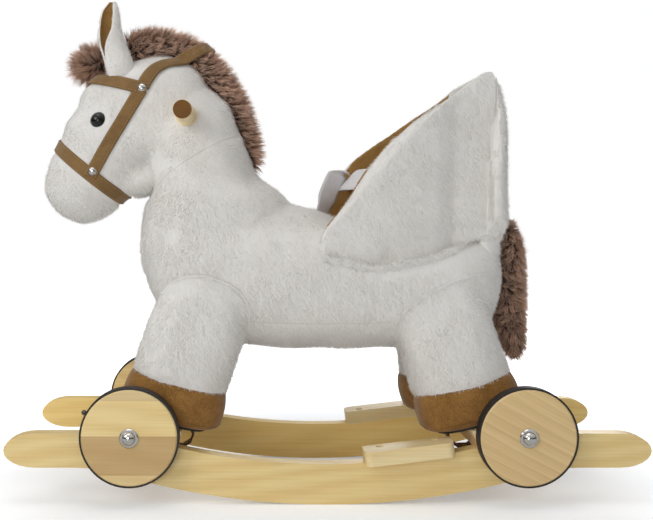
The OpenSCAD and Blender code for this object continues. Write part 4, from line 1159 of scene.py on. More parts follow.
# %% Rows of stitches
def stitched(name, lines, finish, closed=False, **values):
    """Stitches along lines of points in metres."""
    mesh = bpy.data.meshes.new(name)
    verts, edges = [], []
    for line in lines:
        first, count = len(verts), len(line)
        verts += [tuple(p) for p in line]
        edges += [(first + i, first + (i + 1) % count) for i in range(count if closed else count - 1)]
    mesh.from_pydata(verts, edges, [])
    obj = bpy.data.objects.new(name, mesh)
    scene.collection.objects.link(obj)
    return run_tree(obj, STITCHES, {"Finish": finish, **values})


def joined(name, objs):
    obj = put_together(objs)
    obj.name = obj.data.name = name
    return obj


# %% [markdown]
# Noseband, browband and cheek straps meet at two rivets on each side of the head. The noseband is a ring
# round the muzzle, the browband half a ring over the forehead, and a cheek strap a straight line in side
# view. Where tapes cross, the upper one is lifted more.

# %% Bridle tape
STRAP_W, STRAP_T, SEAM_IN, TAPE_STEP = 16.0, 2.0, 1.8, 0.0025
RIVET_TOP, RIVET_LOW = (-8, 306), (52, 208)
ACROSS = Vector((0, 1, 0))
tape_cloth = suede("tape_cloth", "#8b6c43", "#715634", 1100)
tape_thread = grained("tape_thread", "#ad8c5a", "#8f7043", 1500, 0.2, 0.0002, Roughness=0.8)
head_tree = tree_of(head)


def spot_in_head(at):
    """A place in the middle plane of the head, from x and z in millimetres."""
    return CHEST @ Vector((at[0], 0, at[1])) * MM


def in_plane(angle):
    """A direction in the middle plane, by its angle above the horizontal."""
    return Vector((math.cos(math.radians(angle)), 0, math.sin(math.radians(angle))))


def tape(name, paths, lift, tree, closed=False):
    """A tape along each path, with both edges stitched."""
    parts = []
    for path in paths:
        line = even_path(path, TAPE_STEP, closed)
        grid, up = tape_grid(line, tree, STRAP_W * MM, lift * MM, closed)
        strip = smooth_faces(coat(solid(name, tape_shape(grid, up, STRAP_T * MM, closed)), tape_cloth))
        share = SEAM_IN / STRAP_W * (grid.shape[1] - 1)
        top = grid + up[:, None, :] * STRAP_T * MM
        seams = [top[:, 0] * (1 - share) + top[:, 1] * share, top[:, -1] * (1 - share) + top[:, -2] * share]
        thread = stitched("seam", seams, tape_thread, closed, Pitch=0.0040, Length=0.0028, Thread=0.00055)
        parts += [strip, thread]
    return joined(name, parts)


# %% Noseband, browband and cheek straps
NOSE_AT, NOSE_TILT = (58, 206), 39
BROW_TILT, BROW_DROOP = 15.0, 3.0
nose_line = around(head_tree, spot_in_head(NOSE_AT), in_plane(NOSE_TILT), ACROSS, np.arange(0, 360, 3))
brow_line = []
for a in np.radians(np.arange(-97, 98, 3)):
    ahead = in_plane(BROW_TILT - BROW_DROOP * max(0, math.cos(a)) ** 3)
    look = ahead * math.cos(a) + ACROSS * math.sin(a)
    brow_line.append(head_tree.ray_cast(spot_in_head(RIVET_TOP), look)[0])
first, last = np.array(RIVET_TOP), np.array(RIVET_LOW)
run = np.linalg.norm(last - first)
cheek_lines = []
for side in SIDES.values():
    spots = [spot_in_head(first + (last - first) / run * d) for d in np.linspace(2, run + 7, 40)]
    cheek_lines.append([head_tree.ray_cast(spot, ACROSS * side)[0] for spot in spots])
noseband = tape("noseband_tape", [nose_line], 0.4, head_tree, closed=True)
cheeks = tape("cheek_tapes", cheek_lines, 1.6, head_tree)
browband = tape("browband_tape", [brow_line], 2.6, head_tree)
print("bridle", [len(o.data.polygons) for o in (noseband, browband, cheeks)])

# %% [markdown]
# The rein runs from one upper rivet over the mane to the other. It presses on the hair, so it is laid on
# the head and on a form of the mane that is drawn in a little. That form is removed again afterwards.

# %% Rein
MANE_ROWS = [(26, 350, 70, 10, 12, 10), (10, 352, 80, 24, 34, 16), (-16, 354, 92, 28, 38, 18),
             (-46, 347, 108, 28, 38, 18), (-76, 327, 125, 28, 36, 18), (-102, 296, 142, 27, 32, 16),
             (-120, 262, 152, 25, 27, 16), (-133, 232, 158, 20, 22, 14), (-140, 214, 160, 8, 8, 8)]
REIN_SIDE = [(-8, 58, 306), (-13, 56, 317), (-22, 50, 331), (-34, 43, 340), (-49, 37, 345), (-63, 31, 352),
             (-77, 22, 361), (-86, 12, 366), (-90, 0, 367)]
LEAST_ROW = 3


def hair_form(name, rows, less, place):
    """A form of hair, drawn in by some millimetres."""
    least = lambda v: max(v - less, LEAST_ROW)
    rows = [(x, z, a, least(p), least(q), least(r)) for x, z, a, p, q, r in rows]
    return soft_skin(name, [solid("hair_form", loft(rows, n=40, rise=2), place)], rounds=2)


mane_top = hair_form("mane_top", MANE_ROWS, 2, CHEST)
crest_tree = tree_of(head, mane_top)
rein_line = REIN_SIDE + [(x, -y, z) for x, y, z in REIN_SIDE[-2::-1]]
rein_line = [crest_tree.find_nearest(CHEST @ Vector(p) * MM)[0] for p in rein_line]
rein = tape("rein_tape", [rein_line], 2.2, crest_tree)
remove(mane_top)
for piece, node in ((noseband, "noseband"), (browband, "browband"), (cheeks, "cheek_straps"), (rein, "rein")):
    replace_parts(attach(piece, "root"), node)
print("rein", len(rein.data.polygons))

# %% [markdown]
# Rivets are turned shapes: a rim and a low dome, drawn as a profile that is spun round its axis. A ray
# from inside the head gives the place of each and the direction it looks in.

# %% Turned shapes
def turned(profile, n=24):
    """Rings of a turned shape from radius and height pairs, closed at both ends."""
    t = np.linspace(0, 2 * np.pi, n, endpoint=False)
    rings = [np.c_[r * np.cos(t), r * np.sin(t), np.full(n, h)] for r, h in profile[1:-1]]
    return closed_skin(rings, [(0, 0, profile[0][1]), (0, 0, profile[-1][1])])


def set_in(name, profile, count, spot, normal, finish):
    """A turned shape on a skin, with its axis along the normal."""
    place = Matrix.Translation(spot / MM) @ normal.to_track_quat("Z", "Y").to_matrix().to_4x4()
    return smooth_faces(coat(solid(name, turned(profile, count), place), finish))


# %% Rivets
RIVET = [(0, -2), (5.0, -2), (5.3, 0.2), (5.2, 0.9), (4.7, 1.2), (4.5, 1.5), (3.9, 2.3), (2.8, 3.0),
         (1.4, 3.4), (0, 3.5)]
rivets = []
for side in SIDES.values():
    for at, lift in ((RIVET_TOP, 4.2), (RIVET_LOW, 3.2)):
        spot, normal, *_ = head_tree.ray_cast(spot_in_head(at), ACROSS * side)
        rivets.append(set_in("rivet", RIVET, 24, spot + normal * lift * MM, normal, nickel))
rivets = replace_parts(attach(joined("bridle_rivets", rivets), "root"), "rivets")
print(rivets.name, len(rivets.data.polygons))

# %% [markdown]
# Fur is thousands of hairs that stand on a skin. One Geometry Nodes tree grows them all: points are
# strewn on the skin, each carries a slim cone, and each cone is bent from its root along the skin's
# normal to its tip. Tips are drawn together in tufts, which is what makes long pile look shaggy. The
# same tree gives the short nap of the plush, with hairs of one segment that lie down with the comb.

# %% Words for the fur tree
FUR_INPUTS = [("Skin", "Geometry", None), ("Density", "Float", 1e5), ("Length", "Float", 0.02),
              ("Spread", "Float", 0.4), ("Width", "Float", 0.0006), ("Lift", "Float", 1.0),
              ("Comb", "Vector", (0, 0, 0)), ("Swirl", "Float", 0.0), ("Mess", "Float", 0.4),
              ("Tufts", "Float", 6000.0), ("Gather", "Float", 0.5), ("Curl", "Float", 0.0),
              ("Segments", "Int", 3), ("Seed", "Int", 1), ("Finish", "Material", None),
              ("Keep Skin", "Bool", True)]


def words(t):
    """Short words for a tree's sums: on vectors, a vector by a number, on numbers, and stored values."""
    vec = lambda op, a, b=(0, 0, 0): put(t, "ShaderNodeVectorMath", {0: a, 1: b}, operation=op).outputs[0]
    times = lambda a, k: put(t, "ShaderNodeVectorMath", {0: a, "Scale": k}, operation="SCALE").outputs[0]
    num = lambda op, a, b=0.0: put(t, "ShaderNodeMath", {0: a, 1: b}, operation=op).outputs[0]
    stored = lambda name, kind: put(t, "GeometryNodeInputNamedAttribute", {"Name": name},
                                    data_type=kind).outputs[0]
    return vec, times, num, stored


def chance(t, low, high, seed, **more):
    """A random number for each point."""
    return put(t, "FunctionNodeRandomValue", {2: low, 3: high, "Seed": seed, **more},
               data_type="FLOAT").outputs[1]


def keep(t, geometry, name, kind, value):
    """Stores a value on each point under a name."""
    return put(t, "GeometryNodeStoreNamedAttribute", {"Geometry": geometry, "Name": name, "Value": value},
               data_type=kind, domain="POINT").outputs[0]


# %% Roots and tips
SWIRL_SCALE = 26.0


def strewn(t, given, density, seed):
    """Points on the skin, only where it is marked as open."""
    _, _, num, stored = words(t)
    open_skin = num("MULTIPLY", density, stored("open", "FLOAT"))
    return put(t, "GeometryNodeDistributePointsOnFaces",
               {"Mesh": given["Skin"], "Density": open_skin, "Seed": seed}, distribute_method="RANDOM")


def tip_of(t, given, points, seed, spread):
    """The tip of a hair: off the skin, along the comb, in the swirl's drift and a little astray."""
    vec, times, num, _ = words(t)
    here = put(t, "GeometryNodeInputPosition").outputs[0]
    drift = put(t, "ShaderNodeTexNoise",
                {"Vector": here, "Scale": SWIRL_SCALE, "Detail": 2.0}).outputs["Color"]
    drift = times(vec("SUBTRACT", drift, (0.5, 0.5, 0.5)), num("MULTIPLY", given["Swirl"], 2.0))
    stray = put(t, "FunctionNodeRandomValue", {0: (-1, -1, -1), 1: (1, 1, 1), "Seed": seed},
                data_type="FLOAT_VECTOR").outputs[0]
    way = vec("ADD", vec("ADD", times(points.outputs["Normal"], given["Lift"]), given["Comb"]),
              times(stray, given["Mess"]))
    way = vec("NORMALIZE", vec("ADD", way, drift))
    short = chance(t, num("SUBTRACT", 1.0, spread), 1.0, num("ADD", seed, 7.0))
    return vec("ADD", here, times(way, num("MULTIPLY", given["Length"], short)))


def rooted(t, given):
    """Points for the hairs; each keeps its tone and its tip, which leans towards the nearest tuft's."""
    num = words(t)[2]
    here = put(t, "GeometryNodeInputPosition").outputs[0]
    next_seed = num("ADD", given["Seed"], 1.0)
    hairs = strewn(t, given, given["Density"], given["Seed"])
    tufts = strewn(t, given, given["Tufts"], next_seed)
    tuft_points = tufts.outputs["Points"]
    ends = put(t, "GeometryNodeSetPosition",
               {"Geometry": tuft_points, "Position": tip_of(t, given, tufts, next_seed, 0.0)}).outputs[0]
    nearest = put(t, "GeometryNodeSampleNearest", {"Geometry": tuft_points, "Sample Position": here},
                  domain="POINT").outputs[0]
    tuft_tip = put(t, "GeometryNodeSampleIndex", {"Geometry": ends, "Value": here, "Index": nearest},
                   data_type="FLOAT_VECTOR", domain="POINT").outputs[0]
    own_tip = tip_of(t, given, hairs, given["Seed"], given["Spread"])
    tip = put(t, "ShaderNodeMix", {0: given["Gather"], 4: own_tip, 5: tuft_tip},
              data_type="VECTOR").outputs[1]
    tone = num("ADD", chance(t, 0.0, 0.5, 5, ID=nearest), chance(t, 0.0, 0.5, 9))
    carried = [("tip", "FLOAT_VECTOR", tip), ("up", "FLOAT_VECTOR", hairs.outputs["Normal"]),
               ("root", "FLOAT_VECTOR", here), ("tone", "FLOAT", tone),
               ("phase", "FLOAT", chance(t, 0.0, 6.28, 3))]
    points = hairs.outputs["Points"]
    for name, kind, value in carried:
        points = keep(t, points, name, kind, value)
    return points


# %% Bent hairs
KNEE, WAVES, ANY_WAY = 0.45, 8.0, (0.31, 0.57, 0.76)


def cone_hair(t, given):
    """A slim cone whose points know how far along and across the hair they are."""
    here = put(t, "GeometryNodeInputPosition").outputs[0]
    cone = put(t, "GeometryNodeMeshCone",
               {"Vertices": 3, "Side Segments": given["Segments"], "Fill Segments": 1, "Radius Top": 0.0,
                "Radius Bottom": 1.0, "Depth": 1.0}, fill_type="NGON").outputs["Mesh"]
    cone = keep(t, cone, "along", "FLOAT", put(t, "ShaderNodeSeparateXYZ", {0: here}).outputs[2])
    return keep(t, cone, "across", "FLOAT_VECTOR", words(t)[0]("MULTIPLY", here, (1, 1, 0)))


def bent(t, given, hair):
    """Bends each hair from its root along the normal to its tip, with a curl that grows to the tip."""
    vec, times, num, stored = words(t)
    root, up, end = (stored(k, "FLOAT_VECTOR") for k in ("root", "up", "tip"))
    s, phase = stored("along", "FLOAT"), stored("phase", "FLOAT")
    reach = put(t, "ShaderNodeVectorMath", {0: root, 1: end}, operation="DISTANCE").outputs["Value"]
    knee = vec("ADD", root, times(up, num("MULTIPLY", reach, KNEE)))
    rest = num("SUBTRACT", 1.0, s)
    bow = vec("ADD", times(root, num("MULTIPLY", rest, rest)),
              times(knee, num("MULTIPLY", num("MULTIPLY", s, rest), 2.0)))
    line = vec("ADD", bow, times(end, num("MULTIPLY", s, s)))
    side = vec("NORMALIZE", vec("CROSS_PRODUCT", up, ANY_WAY))
    other = vec("CROSS_PRODUCT", up, side)
    wave = num("ADD", num("MULTIPLY", s, WAVES), phase)
    swing = num("MULTIPLY", given["Curl"], s)
    curl = vec("ADD", times(side, num("MULTIPLY", num("SINE", wave), swing)),
               times(other, num("MULTIPLY", num("COSINE", wave), swing)))
    flat = put(t, "ShaderNodeSeparateXYZ", {0: stored("across", "FLOAT_VECTOR")}).outputs
    girth = vec("ADD", times(side, num("MULTIPLY", flat[0], given["Width"])),
                times(other, num("MULTIPLY", flat[1], given["Width"])))
    place = vec("ADD", vec("ADD", line, curl), girth)
    return put(t, "GeometryNodeSetPosition", {"Geometry": hair, "Position": place}).outputs[0]


# %% Fur tree
def fur_tree():
    t, given = new_tree("fur", FUR_INPUTS, "Fur")
    hair = put(t, "GeometryNodeInstanceOnPoints",
               {"Points": rooted(t, given), "Instance": cone_hair(t, given)}).outputs[0]
    hair = put(t, "GeometryNodeRealizeInstances", {"Geometry": hair}).outputs[0]
    base = put(t, "GeometryNodeSwitch", {0: given["Keep Skin"], 2: given["Skin"]},
               input_type="GEOMETRY").outputs[0]
    both = put(t, "GeometryNodeJoinGeometry")
    t.links.new(bent(t, given, hair), both.inputs[0])
    t.links.new(base, both.inputs[0])
    return close_tree(t, both.outputs[0], given["Finish"], "Fur")


FUR = fur_tree()
print("tree", FUR.name, "with", len(FUR.nodes), "nodes")


# %% Grow fur on a skin
NEAR, UNDER = 0.05, 0.012


def mark_open(obj, away=(), where=None):
    """Writes where hair may grow: 1 on free skin, 0 nearer to another piece than its clear distance."""
    free = np.array([where is None or where(v.co) for v in obj.data.vertices], np.float32)
    trees = [(tree_of(o), clear) for o, clear in away]
    for i, v in enumerate(obj.data.vertices):
        for tree, clear in trees if free[i] else ():
            spot, normal, _, gap = tree.find_nearest(v.co, NEAR)
            if spot is not None and (gap < clear or (gap < UNDER and (v.co - spot).dot(normal) < 0)):
                free[i] = 0
                break
    obj.data.attributes.new("open", "FLOAT", "POINT").data.foreach_set("value", free)


def grow_fur(name, skin, away=(), keep_skin=True, where=None, **values):
    """A new piece: the hairs on a copy of skin, with the skin itself where keep_skin is set."""
    obj = bpy.data.objects.new(name, skin.data.copy())
    scene.collection.objects.link(obj)
    mark_open(obj, away, where)
    run_tree(obj, FUR, {"Keep Skin": keep_skin, **values})
    obj.name = obj.data.name = name
    print(name, "triangles", sum(len(p.vertices) - 2 for p in obj.data.polygons))
    return obj


# %% [markdown]
# The mane, forelock and tail are brown long pile. Each hair is darker at its root and paler towards its tip,
# and the tufts differ a little in tone. The skins are the CAD forms drawn in by the length of the hair.

# %% Hair finish
def fur_finish(name, root, mid, tip, spread=0.35, **sockets):
    mat, t, shader = new_finish(name, Roughness=0.75, Sheen_Weight=0.15, Specular_IOR_Level=0.25, **sockets)
    along = put(t, "ShaderNodeAttribute", attribute_name="along").outputs["Fac"]
    tone = put(t, "ShaderNodeAttribute", attribute_name="tone").outputs["Fac"]
    colour = ramp(t, along, [(0.0, lin(root)), (0.45, lin(mid)), (1.0, lin(tip))])
    shade = put(t, "ShaderNodeMapRange",
                {"Value": tone, "To Min": 1.0 - spread, "To Max": 1.0 + spread * 0.5})
    t.links.new(mixed(t, 1.0, colour, shade.outputs[0], "MULTIPLY"), shader.inputs["Base Color"])
    streak = put(t, "ShaderNodeTexNoise", {"Vector": own_space(t), "Scale": 900.0, "Detail": 2.0})
    bumped(t, shader, streak.outputs["Fac"], 0.2, 0.0004)
    return mat


# %% Mane, forelock and tail
FORELOCK_ROWS = [(36, 330, 90, 8, 8, 8), (46, 338, 90, 22, 22, 18), (58, 345, 90, 27, 27, 27),
                 (70, 344, 90, 24, 22, 27), (79, 339, 90, 8, 8, 10)]
TAIL_ROWS = [(-4, 152, 0, 8, 8, 8), (-15, 139, 0, 18, 15, 17), (-24, 108, 0, 22, 19, 18),
             (-24, 63, 0, 24, 27, 18), (-25, 18, 0, 23, 24, 17), (-28, -8, 0, 17, 16, 15),
             (-29, -22, 0, 6, 6, 6)]
ON_SKIN = 0.0005
brown_fur = fur_finish("brown_fur", "#573c2e", "#c1987f", "#efccb2", spread=0.6)
long_pile = {"Finish": brown_fur, "Segments": 2, "Lift": 1.0, "Spread": 0.55}
mane_skin = hair_form("mane_skin", MANE_ROWS, 11, CHEST)
lock_skin = hair_form("forelock_skin", FORELOCK_ROWS, 13, CHEST)
tail_skin = hair_form("tail_skin", TAIL_ROWS, 6, RUMP)
mane = grow_fur("mane_fur", mane_skin, [(head, ON_SKIN), (body, ON_SKIN), (rein, 0.009)], Density=6.4e5,
                Length=0.0185, Width=0.00055, Comb=(-0.45, 0, -0.1), Swirl=0.45, Mess=0.45, Tufts=46000.0,
                Gather=0.52, Curl=0.0005, Seed=11, **long_pile)
lock = grow_fur("forelock_fur", lock_skin, [(head, ON_SKIN)], Density=9.0e5, Length=0.0215, Width=0.00055,
                Comb=(0.35, 0, 0.0), Swirl=0.4, Mess=0.4, Tufts=42000.0, Gather=0.6, Curl=0.0004, Seed=21,
                **long_pile)
tail = grow_fur("tail_fur", tail_skin, [(body, ON_SKIN), (back, ON_SKIN)], Density=6.0e5, Length=0.0135,
                Width=0.0006, Comb=(-0.1, 0, -0.5), Swirl=0.9, Mess=0.6, Tufts=40000.0, Gather=0.5,
                Curl=0.0018, Seed=31, **long_pile)
for piece, node in ((mane, "mane"), (lock, "forelock"), (tail, "tail")):
    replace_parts(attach(piece, "root"), node)
remove(mane_skin, lock_skin, tail_skin)

# %% [markdown]
# The eyes are turned like the rivets: black domes on a low rim, set in the skin. The ray that finds their
# place points a little forward, as a horse's eyes do.

# %% Eyes
EYE = [(0, -5), (9.6, -5), (9.8, 0.3), (9.3, 1.2), (8.6, 1.4),
       (8.3, 2.2), (7.2, 4.0), (5.4, 5.6), (2.9, 6.6), (0, 6.9)]
EYE_AT, EYE_FORWARD = (40.5, 270), 0.1
eyes = []
for side in SIDES.values():
    look = (in_plane(0) * EYE_FORWARD + ACROSS * side).normalized()
    spot, normal, *_ = head_tree.ray_cast(spot_in_head(EYE_AT), look)
    eyes.append(set_in("eye", EYE, 32, spot, normal, eye_black))
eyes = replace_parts(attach(joined("safety_eyes", eyes), "root"), "eyes")
print(eyes.name, len(eyes.data.polygons))

# %% [markdown]
# The belt is white webbing that bows across the seat. A second strap comes up from the cushion, hangs in
# front of the belt and is laid over its upper edge. Both are flat strips, laid along their line with
# their real width, so they are modelled directly. The lower strap twists a little on its way.

# %% Webbing
def strip(name, line, across, wide, thick, mat, place):
    """A flat strip along points, with its width along one direction."""
    p = np.array(line, float)
    ahead = np.gradient(p, axis=0)
    up = np.cross(ahead, across)
    up /= np.linalg.norm(up, axis=1)[:, None]
    shares = np.linspace(-0.5, 0.5, 7)
    grid = np.stack([p + np.array(across) * share * wide - up * thick / 2 for share in shares], 1)
    return smooth_faces(coat(solid(name, tape_shape(grid * MM, up, thick * MM), place), mat))


def webbing_finish(name, pale, deep, across):
    """Ribs of woven tape; across is the direction in which the ribs follow each other."""
    mat, t, shader = new_finish(name, Roughness=0.7, Sheen_Weight=0.15, Specular_IOR_Level=0.3)
    rib = put(t, "ShaderNodeTexWave",
              {"Vector": own_space(t, scale=across), "Scale": 190.0, "Distortion": 0.6, "Detail": 1.0})
    spread = put(t, "ShaderNodeTexNoise", {"Vector": own_space(t), "Scale": 120.0, "Detail": 3.0})
    share = mixed(t, 0.5, rib.outputs["Color"], spread.outputs["Color"])
    t.links.new(mixed(t, share, lin(deep), lin(pale)), shader.inputs["Base Color"])
    bumped(t, shader, rib.outputs["Fac"], 0.25, 0.0004)
    return mat


# %% Belt and crotch strap
BELT_AT, BELT_LEAN, BELT_BOW, BELT_W, BELT_T, BELT_POINTS = (163, 199), math.radians(42), 17.0, 34.0, 2.2, 48
STRAP_LEAN, STRAP_WIDE, STRAP_THICK = math.radians(20), 30.0, 1.6
STRAP_LINE = [(1.6, 8), (7, 9), (12.5, 7), (15.5, 0), (17, -16), (17, -34), (16.5, -50), (15, -68)]
STRAP_TURN = ([-68, -40, -30, 2, 8], [30, 40, 56, 56, 12])
# The webbing's white is greyer than the plush's: painted shade for the shadow in the seat that falls on belt
# and strap.
webbing = webbing_finish("white_webbing_painted_shade", "#e4e1e1", "#d0cdcd", (1, 1, 1))
belt_half = SEAT_HALF - 0.5
belt_line = [(BELT_AT[0] + BELT_BOW * (1 - (y / belt_half) ** 2), y, BELT_AT[1])
             for y in np.linspace(-belt_half, belt_half, BELT_POINTS)]
belt_up = (-math.sin(BELT_LEAN), 0, math.cos(BELT_LEAN))
belt = strip("waist_belt_webbing", belt_line, belt_up, BELT_W, BELT_T, webbing, RUMP)
strap_path = even_path([(x, 0, z) for x, z in STRAP_LINE], 2.0)
turn = np.radians(np.interp(np.array(strap_path)[:, 2], *STRAP_TURN))
middle = belt_line[BELT_POINTS // 2]
strap_place = RUMP @ Matrix.Translation((middle[0], 0, middle[2])) @ Matrix.Rotation(-STRAP_LEAN, 4, "Y")
strap_across = np.c_[np.sin(turn), np.cos(turn), 0 * turn]
crotch_strap = strip("crotch_strap_webbing", strap_path, strap_across, STRAP_WIDE, STRAP_THICK, webbing,
                     strap_place)
for piece, node in ((belt, "waist_belt"), (crotch_strap, "crotch_strap")):
    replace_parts(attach(piece, "root"), node)
print("belt", len(belt.data.polygons), "crotch strap", len(crotch_strap.data.polygons))

# %% [markdown]
# Sawn and planed wood has eased edges. A bevel on the sharp edges of rockers, footrests and bars
# catches the light as a thin bright line, as in the photo. It is a modifier, so the CAD mesh itself
# stays as it is.

# %% Eased wooden edges
SHARP = math.radians(50)


def eased(names, wide):
    for name in names:
        weld = nodes[name].modifiers.new("weld", "WELD")
        weld.merge_threshold = 1e-5
        bevel = nodes[name].modifiers.new("eased", "BEVEL")
        bevel.width, bevel.segments, bevel.limit_method, bevel.angle_limit = wide, 3, "ANGLE", SHARP
        bevel.harden_normals = False


thick_wood = ["rocker_left", "rocker_right", "footrest_left", "footrest_right"]
thin_wood = ["cross_bar_front", "cross_bar_rear", "hoof_board_front", "hoof_board_rear"]
eased(thick_wood, 0.0025)
eased(thin_wood, 0.0012)
print("eased edges on", len(thick_wood + thin_wood), "nodes")

# %% [markdown]
# Seams in plush show as thin furrows with a rim of longer hair. The leg tops and the lower edge of the
# wings have such a rim. It grows on a narrow ribbon that is laid over the seam, so the hair follows it. The
# belly and the neck only show a line of thread a little darker than the plush, which paints the shade in the
# furrow. Hooves are closed by a row of stitches near the sole.

# %% Seam lines
FRONT_ARCH = [(192, 236), (181, 250), (160, 258), (142, 259), (122, 253),
              (103, 243), (93, 230), (88, 217), (90, 201)]
REAR_ARCH = [(-77, 194), (-85, 211), (-102, 229), (-125, 243), (-150, 254), (-171, 260), (-190, 261)]
WING_SEAM = [(RUMP_X + x, BELLY_Z + np.interp(x, RIDGE_X, RIDGE_Z))
             for x in (8, 18, 30, 50, 86, 120, 157, 190, 218)]
BELLY_SEAM = [(87, 205), (60, 203.5), (20, 203), (-20, 203.5), (-52, 204), (-74, 205)]
NECK_LINE = [(103, 427), (120, 420), (145, 406), (168, 392), (192, 373), (210, 355)]


def seam_lines(tree, places, step=0.002):
    """The line of a seam on both sides of the toy, from places in x and z."""
    smooth = smooth_through(places, 8)
    both = [[from_side(tree, x, z, side) for x, z in smooth] for side in SIDES.values()]
    return [even_path([spot * MM for spot in line if spot], step) for line in both]


# %% Rims of hair along the seams
nap_finish = fur_finish("white_nap", "#e6e3de", "#ece9e4", "#f2efeb", spread=0.05)
rim_rules = {"Finish": nap_finish, "Segments": 2, "Density": 4.0e5, "Spread": 0.5, "Width": 0.00034,
             "Lift": 0.7, "Comb": (0, 0, -0.55), "Swirl": 0.8, "Mess": 0.5, "Tufts": 30000.0, "Gather": 0.3,
             "Curl": 0.0005}
RIM_ROWS, RIM_SUNK, RIM_THICK = 7, -0.0005, 0.0004


def rim(name, tree, places, wide, high, length, seed, **more):
    """A low welt along a seam, with longer hair on it."""
    parts = []
    swell = high * MM * np.cos(np.linspace(-1.57, 1.57, RIM_ROWS))
    for line in seam_lines(tree, places):
        grid, up = tape_grid(line, tree, wide * MM, RIM_SUNK, count=RIM_ROWS)
        grid = grid + up[:, None, :] * swell[None, :, None]
        parts.append(solid("welt", tape_shape(grid, up, RIM_THICK)))
    welt = joined("welt", parts)
    fur = grow_fur(name, welt, (), True, None, Length=length * MM, Seed=seed, **{**rim_rules, **more})
    remove(welt)
    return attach(fur, "root")


flank_tree = tree_of(body, *wings.values())
seat_tree = tree_of(body, back, *wings.values())
rim("front_leg_seam_rim", flank_tree, FRONT_ARCH, 4.5, 2.4, 5.0, 61, Comb=(0, 0, 0))
rim("rear_leg_seam_rim", flank_tree, REAR_ARCH, 6.0, 1.2, 5.0, 62)
rim("wing_seam_rim", seat_tree, WING_SEAM, 12.0, 3.2, 10.0, 63, Density=3.6e5, Lift=0.85, Comb=(0, 0, 0),
    Swirl=1.6, Mess=0.7, Width=0.0004, Gather=0.35)

# %% Painted seam shade and hoof stitches
SOLE_SEAM = 8.0
# The belly and neck seams get a line of thread lumps a little darker than the plush: painted shade for the
# seam's furrow.
seam_shade_thread = grained("seam_shade_thread", "#e3dfd8", "#cfcac2", 1200, 0.3, 0.0002, Roughness=0.9)
hoof_thread = grained("hoof_thread", "#6e4c24", "#4f3415", 1200, 0.3, 0.0002, Roughness=0.85)
sunk = {"Pitch": 0.003, "Length": 0.0045, "Thread": 0.0008}
belly_seam_shade = stitched("seam_shade_threads", seam_lines(flank_tree, BELLY_SEAM), seam_shade_thread, **sunk)
neck_seam_shade = stitched("neck_seam", seam_lines(tree_of(head, body), NECK_LINE), seam_shade_thread, **sunk)
seams = joined("seam_shade_threads", [belly_seam_shade, neck_seam_shade])
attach(seams, "root")
hoof_lines = []
for key, end, side in CORNERS:
    place = leg_place(end, side)
    middle = place @ Vector((0, 0, HOOF_Z + SOLE_SEAM)) * MM
    ring = around(tree_of(hooves[key]), middle, place.to_3x3() @ Vector((1, 0, 0)), ACROSS,
                  np.arange(0, 360, 3))
    hoof_lines.append(even_path(ring, 0.003, True))
hoof_seams = stitched("hoof_stitches", hoof_lines, hoof_thread, True, Pitch=0.0042, Length=0.003,
                      Thread=0.0006)
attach(hoof_seams, "root")
print("threads", len(seams.data.polygons), "hoof stitches", len(hoof_seams.data.polygons))

# %% [markdown]
# The plush itself: short white hairs on every plush skin, combed down. They make the outline soft and
# reach over the top of the hooves. Face and ears have a shorter nap. Hair stays clear of straps, eyes
# and neighbours. The body's nap is grown in five parts: three along the trunk and two on the legs.

# %% Nap rules
FIRST_SEED, NAP_DENSITY = 100, 3.4e5
nap_rules = {"Finish": nap_finish, "Segments": 1, "Length": 0.006, "Spread": 0.5, "Width": 0.00036,
             "Lift": 0.55, "Comb": (-0.15, 0, -0.7), "Swirl": 0.9, "Mess": 0.4, "Tufts": 24000.0,
             "Gather": 0.27, "Curl": 0.0}
face_rules = {"Length": 0.0048, "Gather": 0.16, "Mess": 0.35}
ear_rules = {"Length": 0.0034, "Gather": 0.2, "Comb": (0, 0, -0.35)}


def plush_side(obj):
    """A copy of an ear without its lining."""
    bm = bmesh.new()
    bm.from_mesh(obj.data)
    bmesh.ops.delete(bm, geom=[f for f in bm.faces if f.material_index], context="FACES")
    outside = bpy.data.objects.new("ear_outside", bpy.data.meshes.new("ear_outside"))
    bm.to_mesh(outside.data)
    bm.free()
    return outside


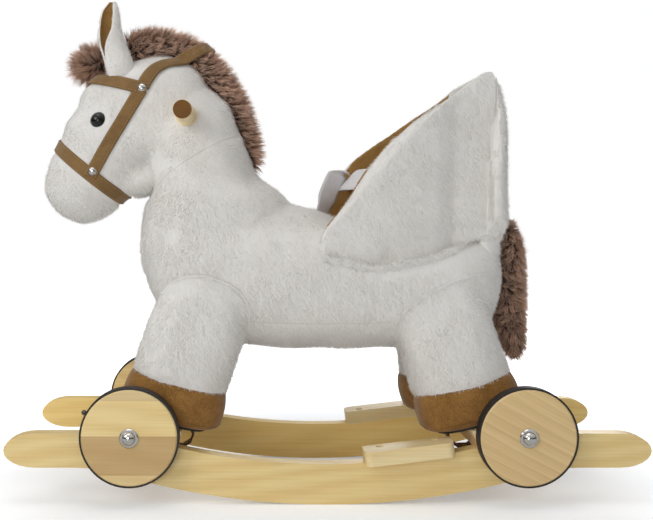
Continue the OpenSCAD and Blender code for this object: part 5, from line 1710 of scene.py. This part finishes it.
outsides = {f"ear_{key}_nap": plush_side(piece) for key, piece in ears.items()}
own_rules = {"head_nap": face_rules, **{name: ear_rules for name in outsides}}
print("own nap rules for", list(own_rules))

# %% Where the nap grows
FORE, AFT, FOOT, CLEAR = 0.06, -0.06, 0.2, 0.001
on_head = [(o, 0.0045) for o in (noseband, cheeks, browband, rein)]
on_head += [(o, 0.002) for o in (eyes, *ears.values(), nodes["handle"])]
on_head += [(body, CLEAR), (seams, CLEAR)]
on_seat = [(body, CLEAR), (lining, CLEAR)]
on_body = [(o, CLEAR) for o in (*wings.values(), back, cushion, lining, head, seams)]
on_legs = [(hoof, 0.0) for hoof in hooves.values()] + [(seams, CLEAR)]
nap_jobs = [("head_nap", head, on_head, None),
            ("seat_back_nap", back, on_seat + [(o, CLEAR) for o in wings.values()], None)]
nap_jobs += [(f"seat_wing_{key}_nap", wing, on_seat + [(back, CLEAR)], None) for key, wing in wings.items()]
nap_jobs += [("body_nap_fore", body, on_body, lambda v: v.z > FOOT and v.x > FORE),
             ("body_nap_mid", body, on_body, lambda v: v.z > FOOT and AFT < v.x <= FORE),
             ("body_nap_aft", body, on_body, lambda v: v.z > FOOT and v.x <= AFT),
             ("legs_nap_front", body, on_legs, lambda v: v.z <= FOOT and v.x > 0),
             ("legs_nap_rear", body, on_legs, lambda v: v.z <= FOOT and v.x <= 0)]
nap_jobs += [(name, skin, [(browband, 0.002), (head, 0.0)], None) for name, skin in outsides.items()]
print("nap in", len(nap_jobs), "parts")

# %% Grow the nap
for number, (name, skin, away, where) in enumerate(nap_jobs):
    rules = {**nap_rules, **own_rules.get(name, {})}
    nap = grow_fur(name, skin, away, False, where, Density=NAP_DENSITY, Seed=FIRST_SEED + number, **rules)
    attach(nap, "root")
remove(*outsides.values())

# %% [markdown]
# Last, the visual model's box is set beside the CAD model's. Cloth may stand a little proud of its
# solid, but the toy has to keep its real size.

# %% Sizes of the CAD and the visual model
size = {"cad": [list(map(float, c)) for c in cad_box], "visual": [list(map(float, c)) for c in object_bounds()]}
remove(body_cut)
print(size)
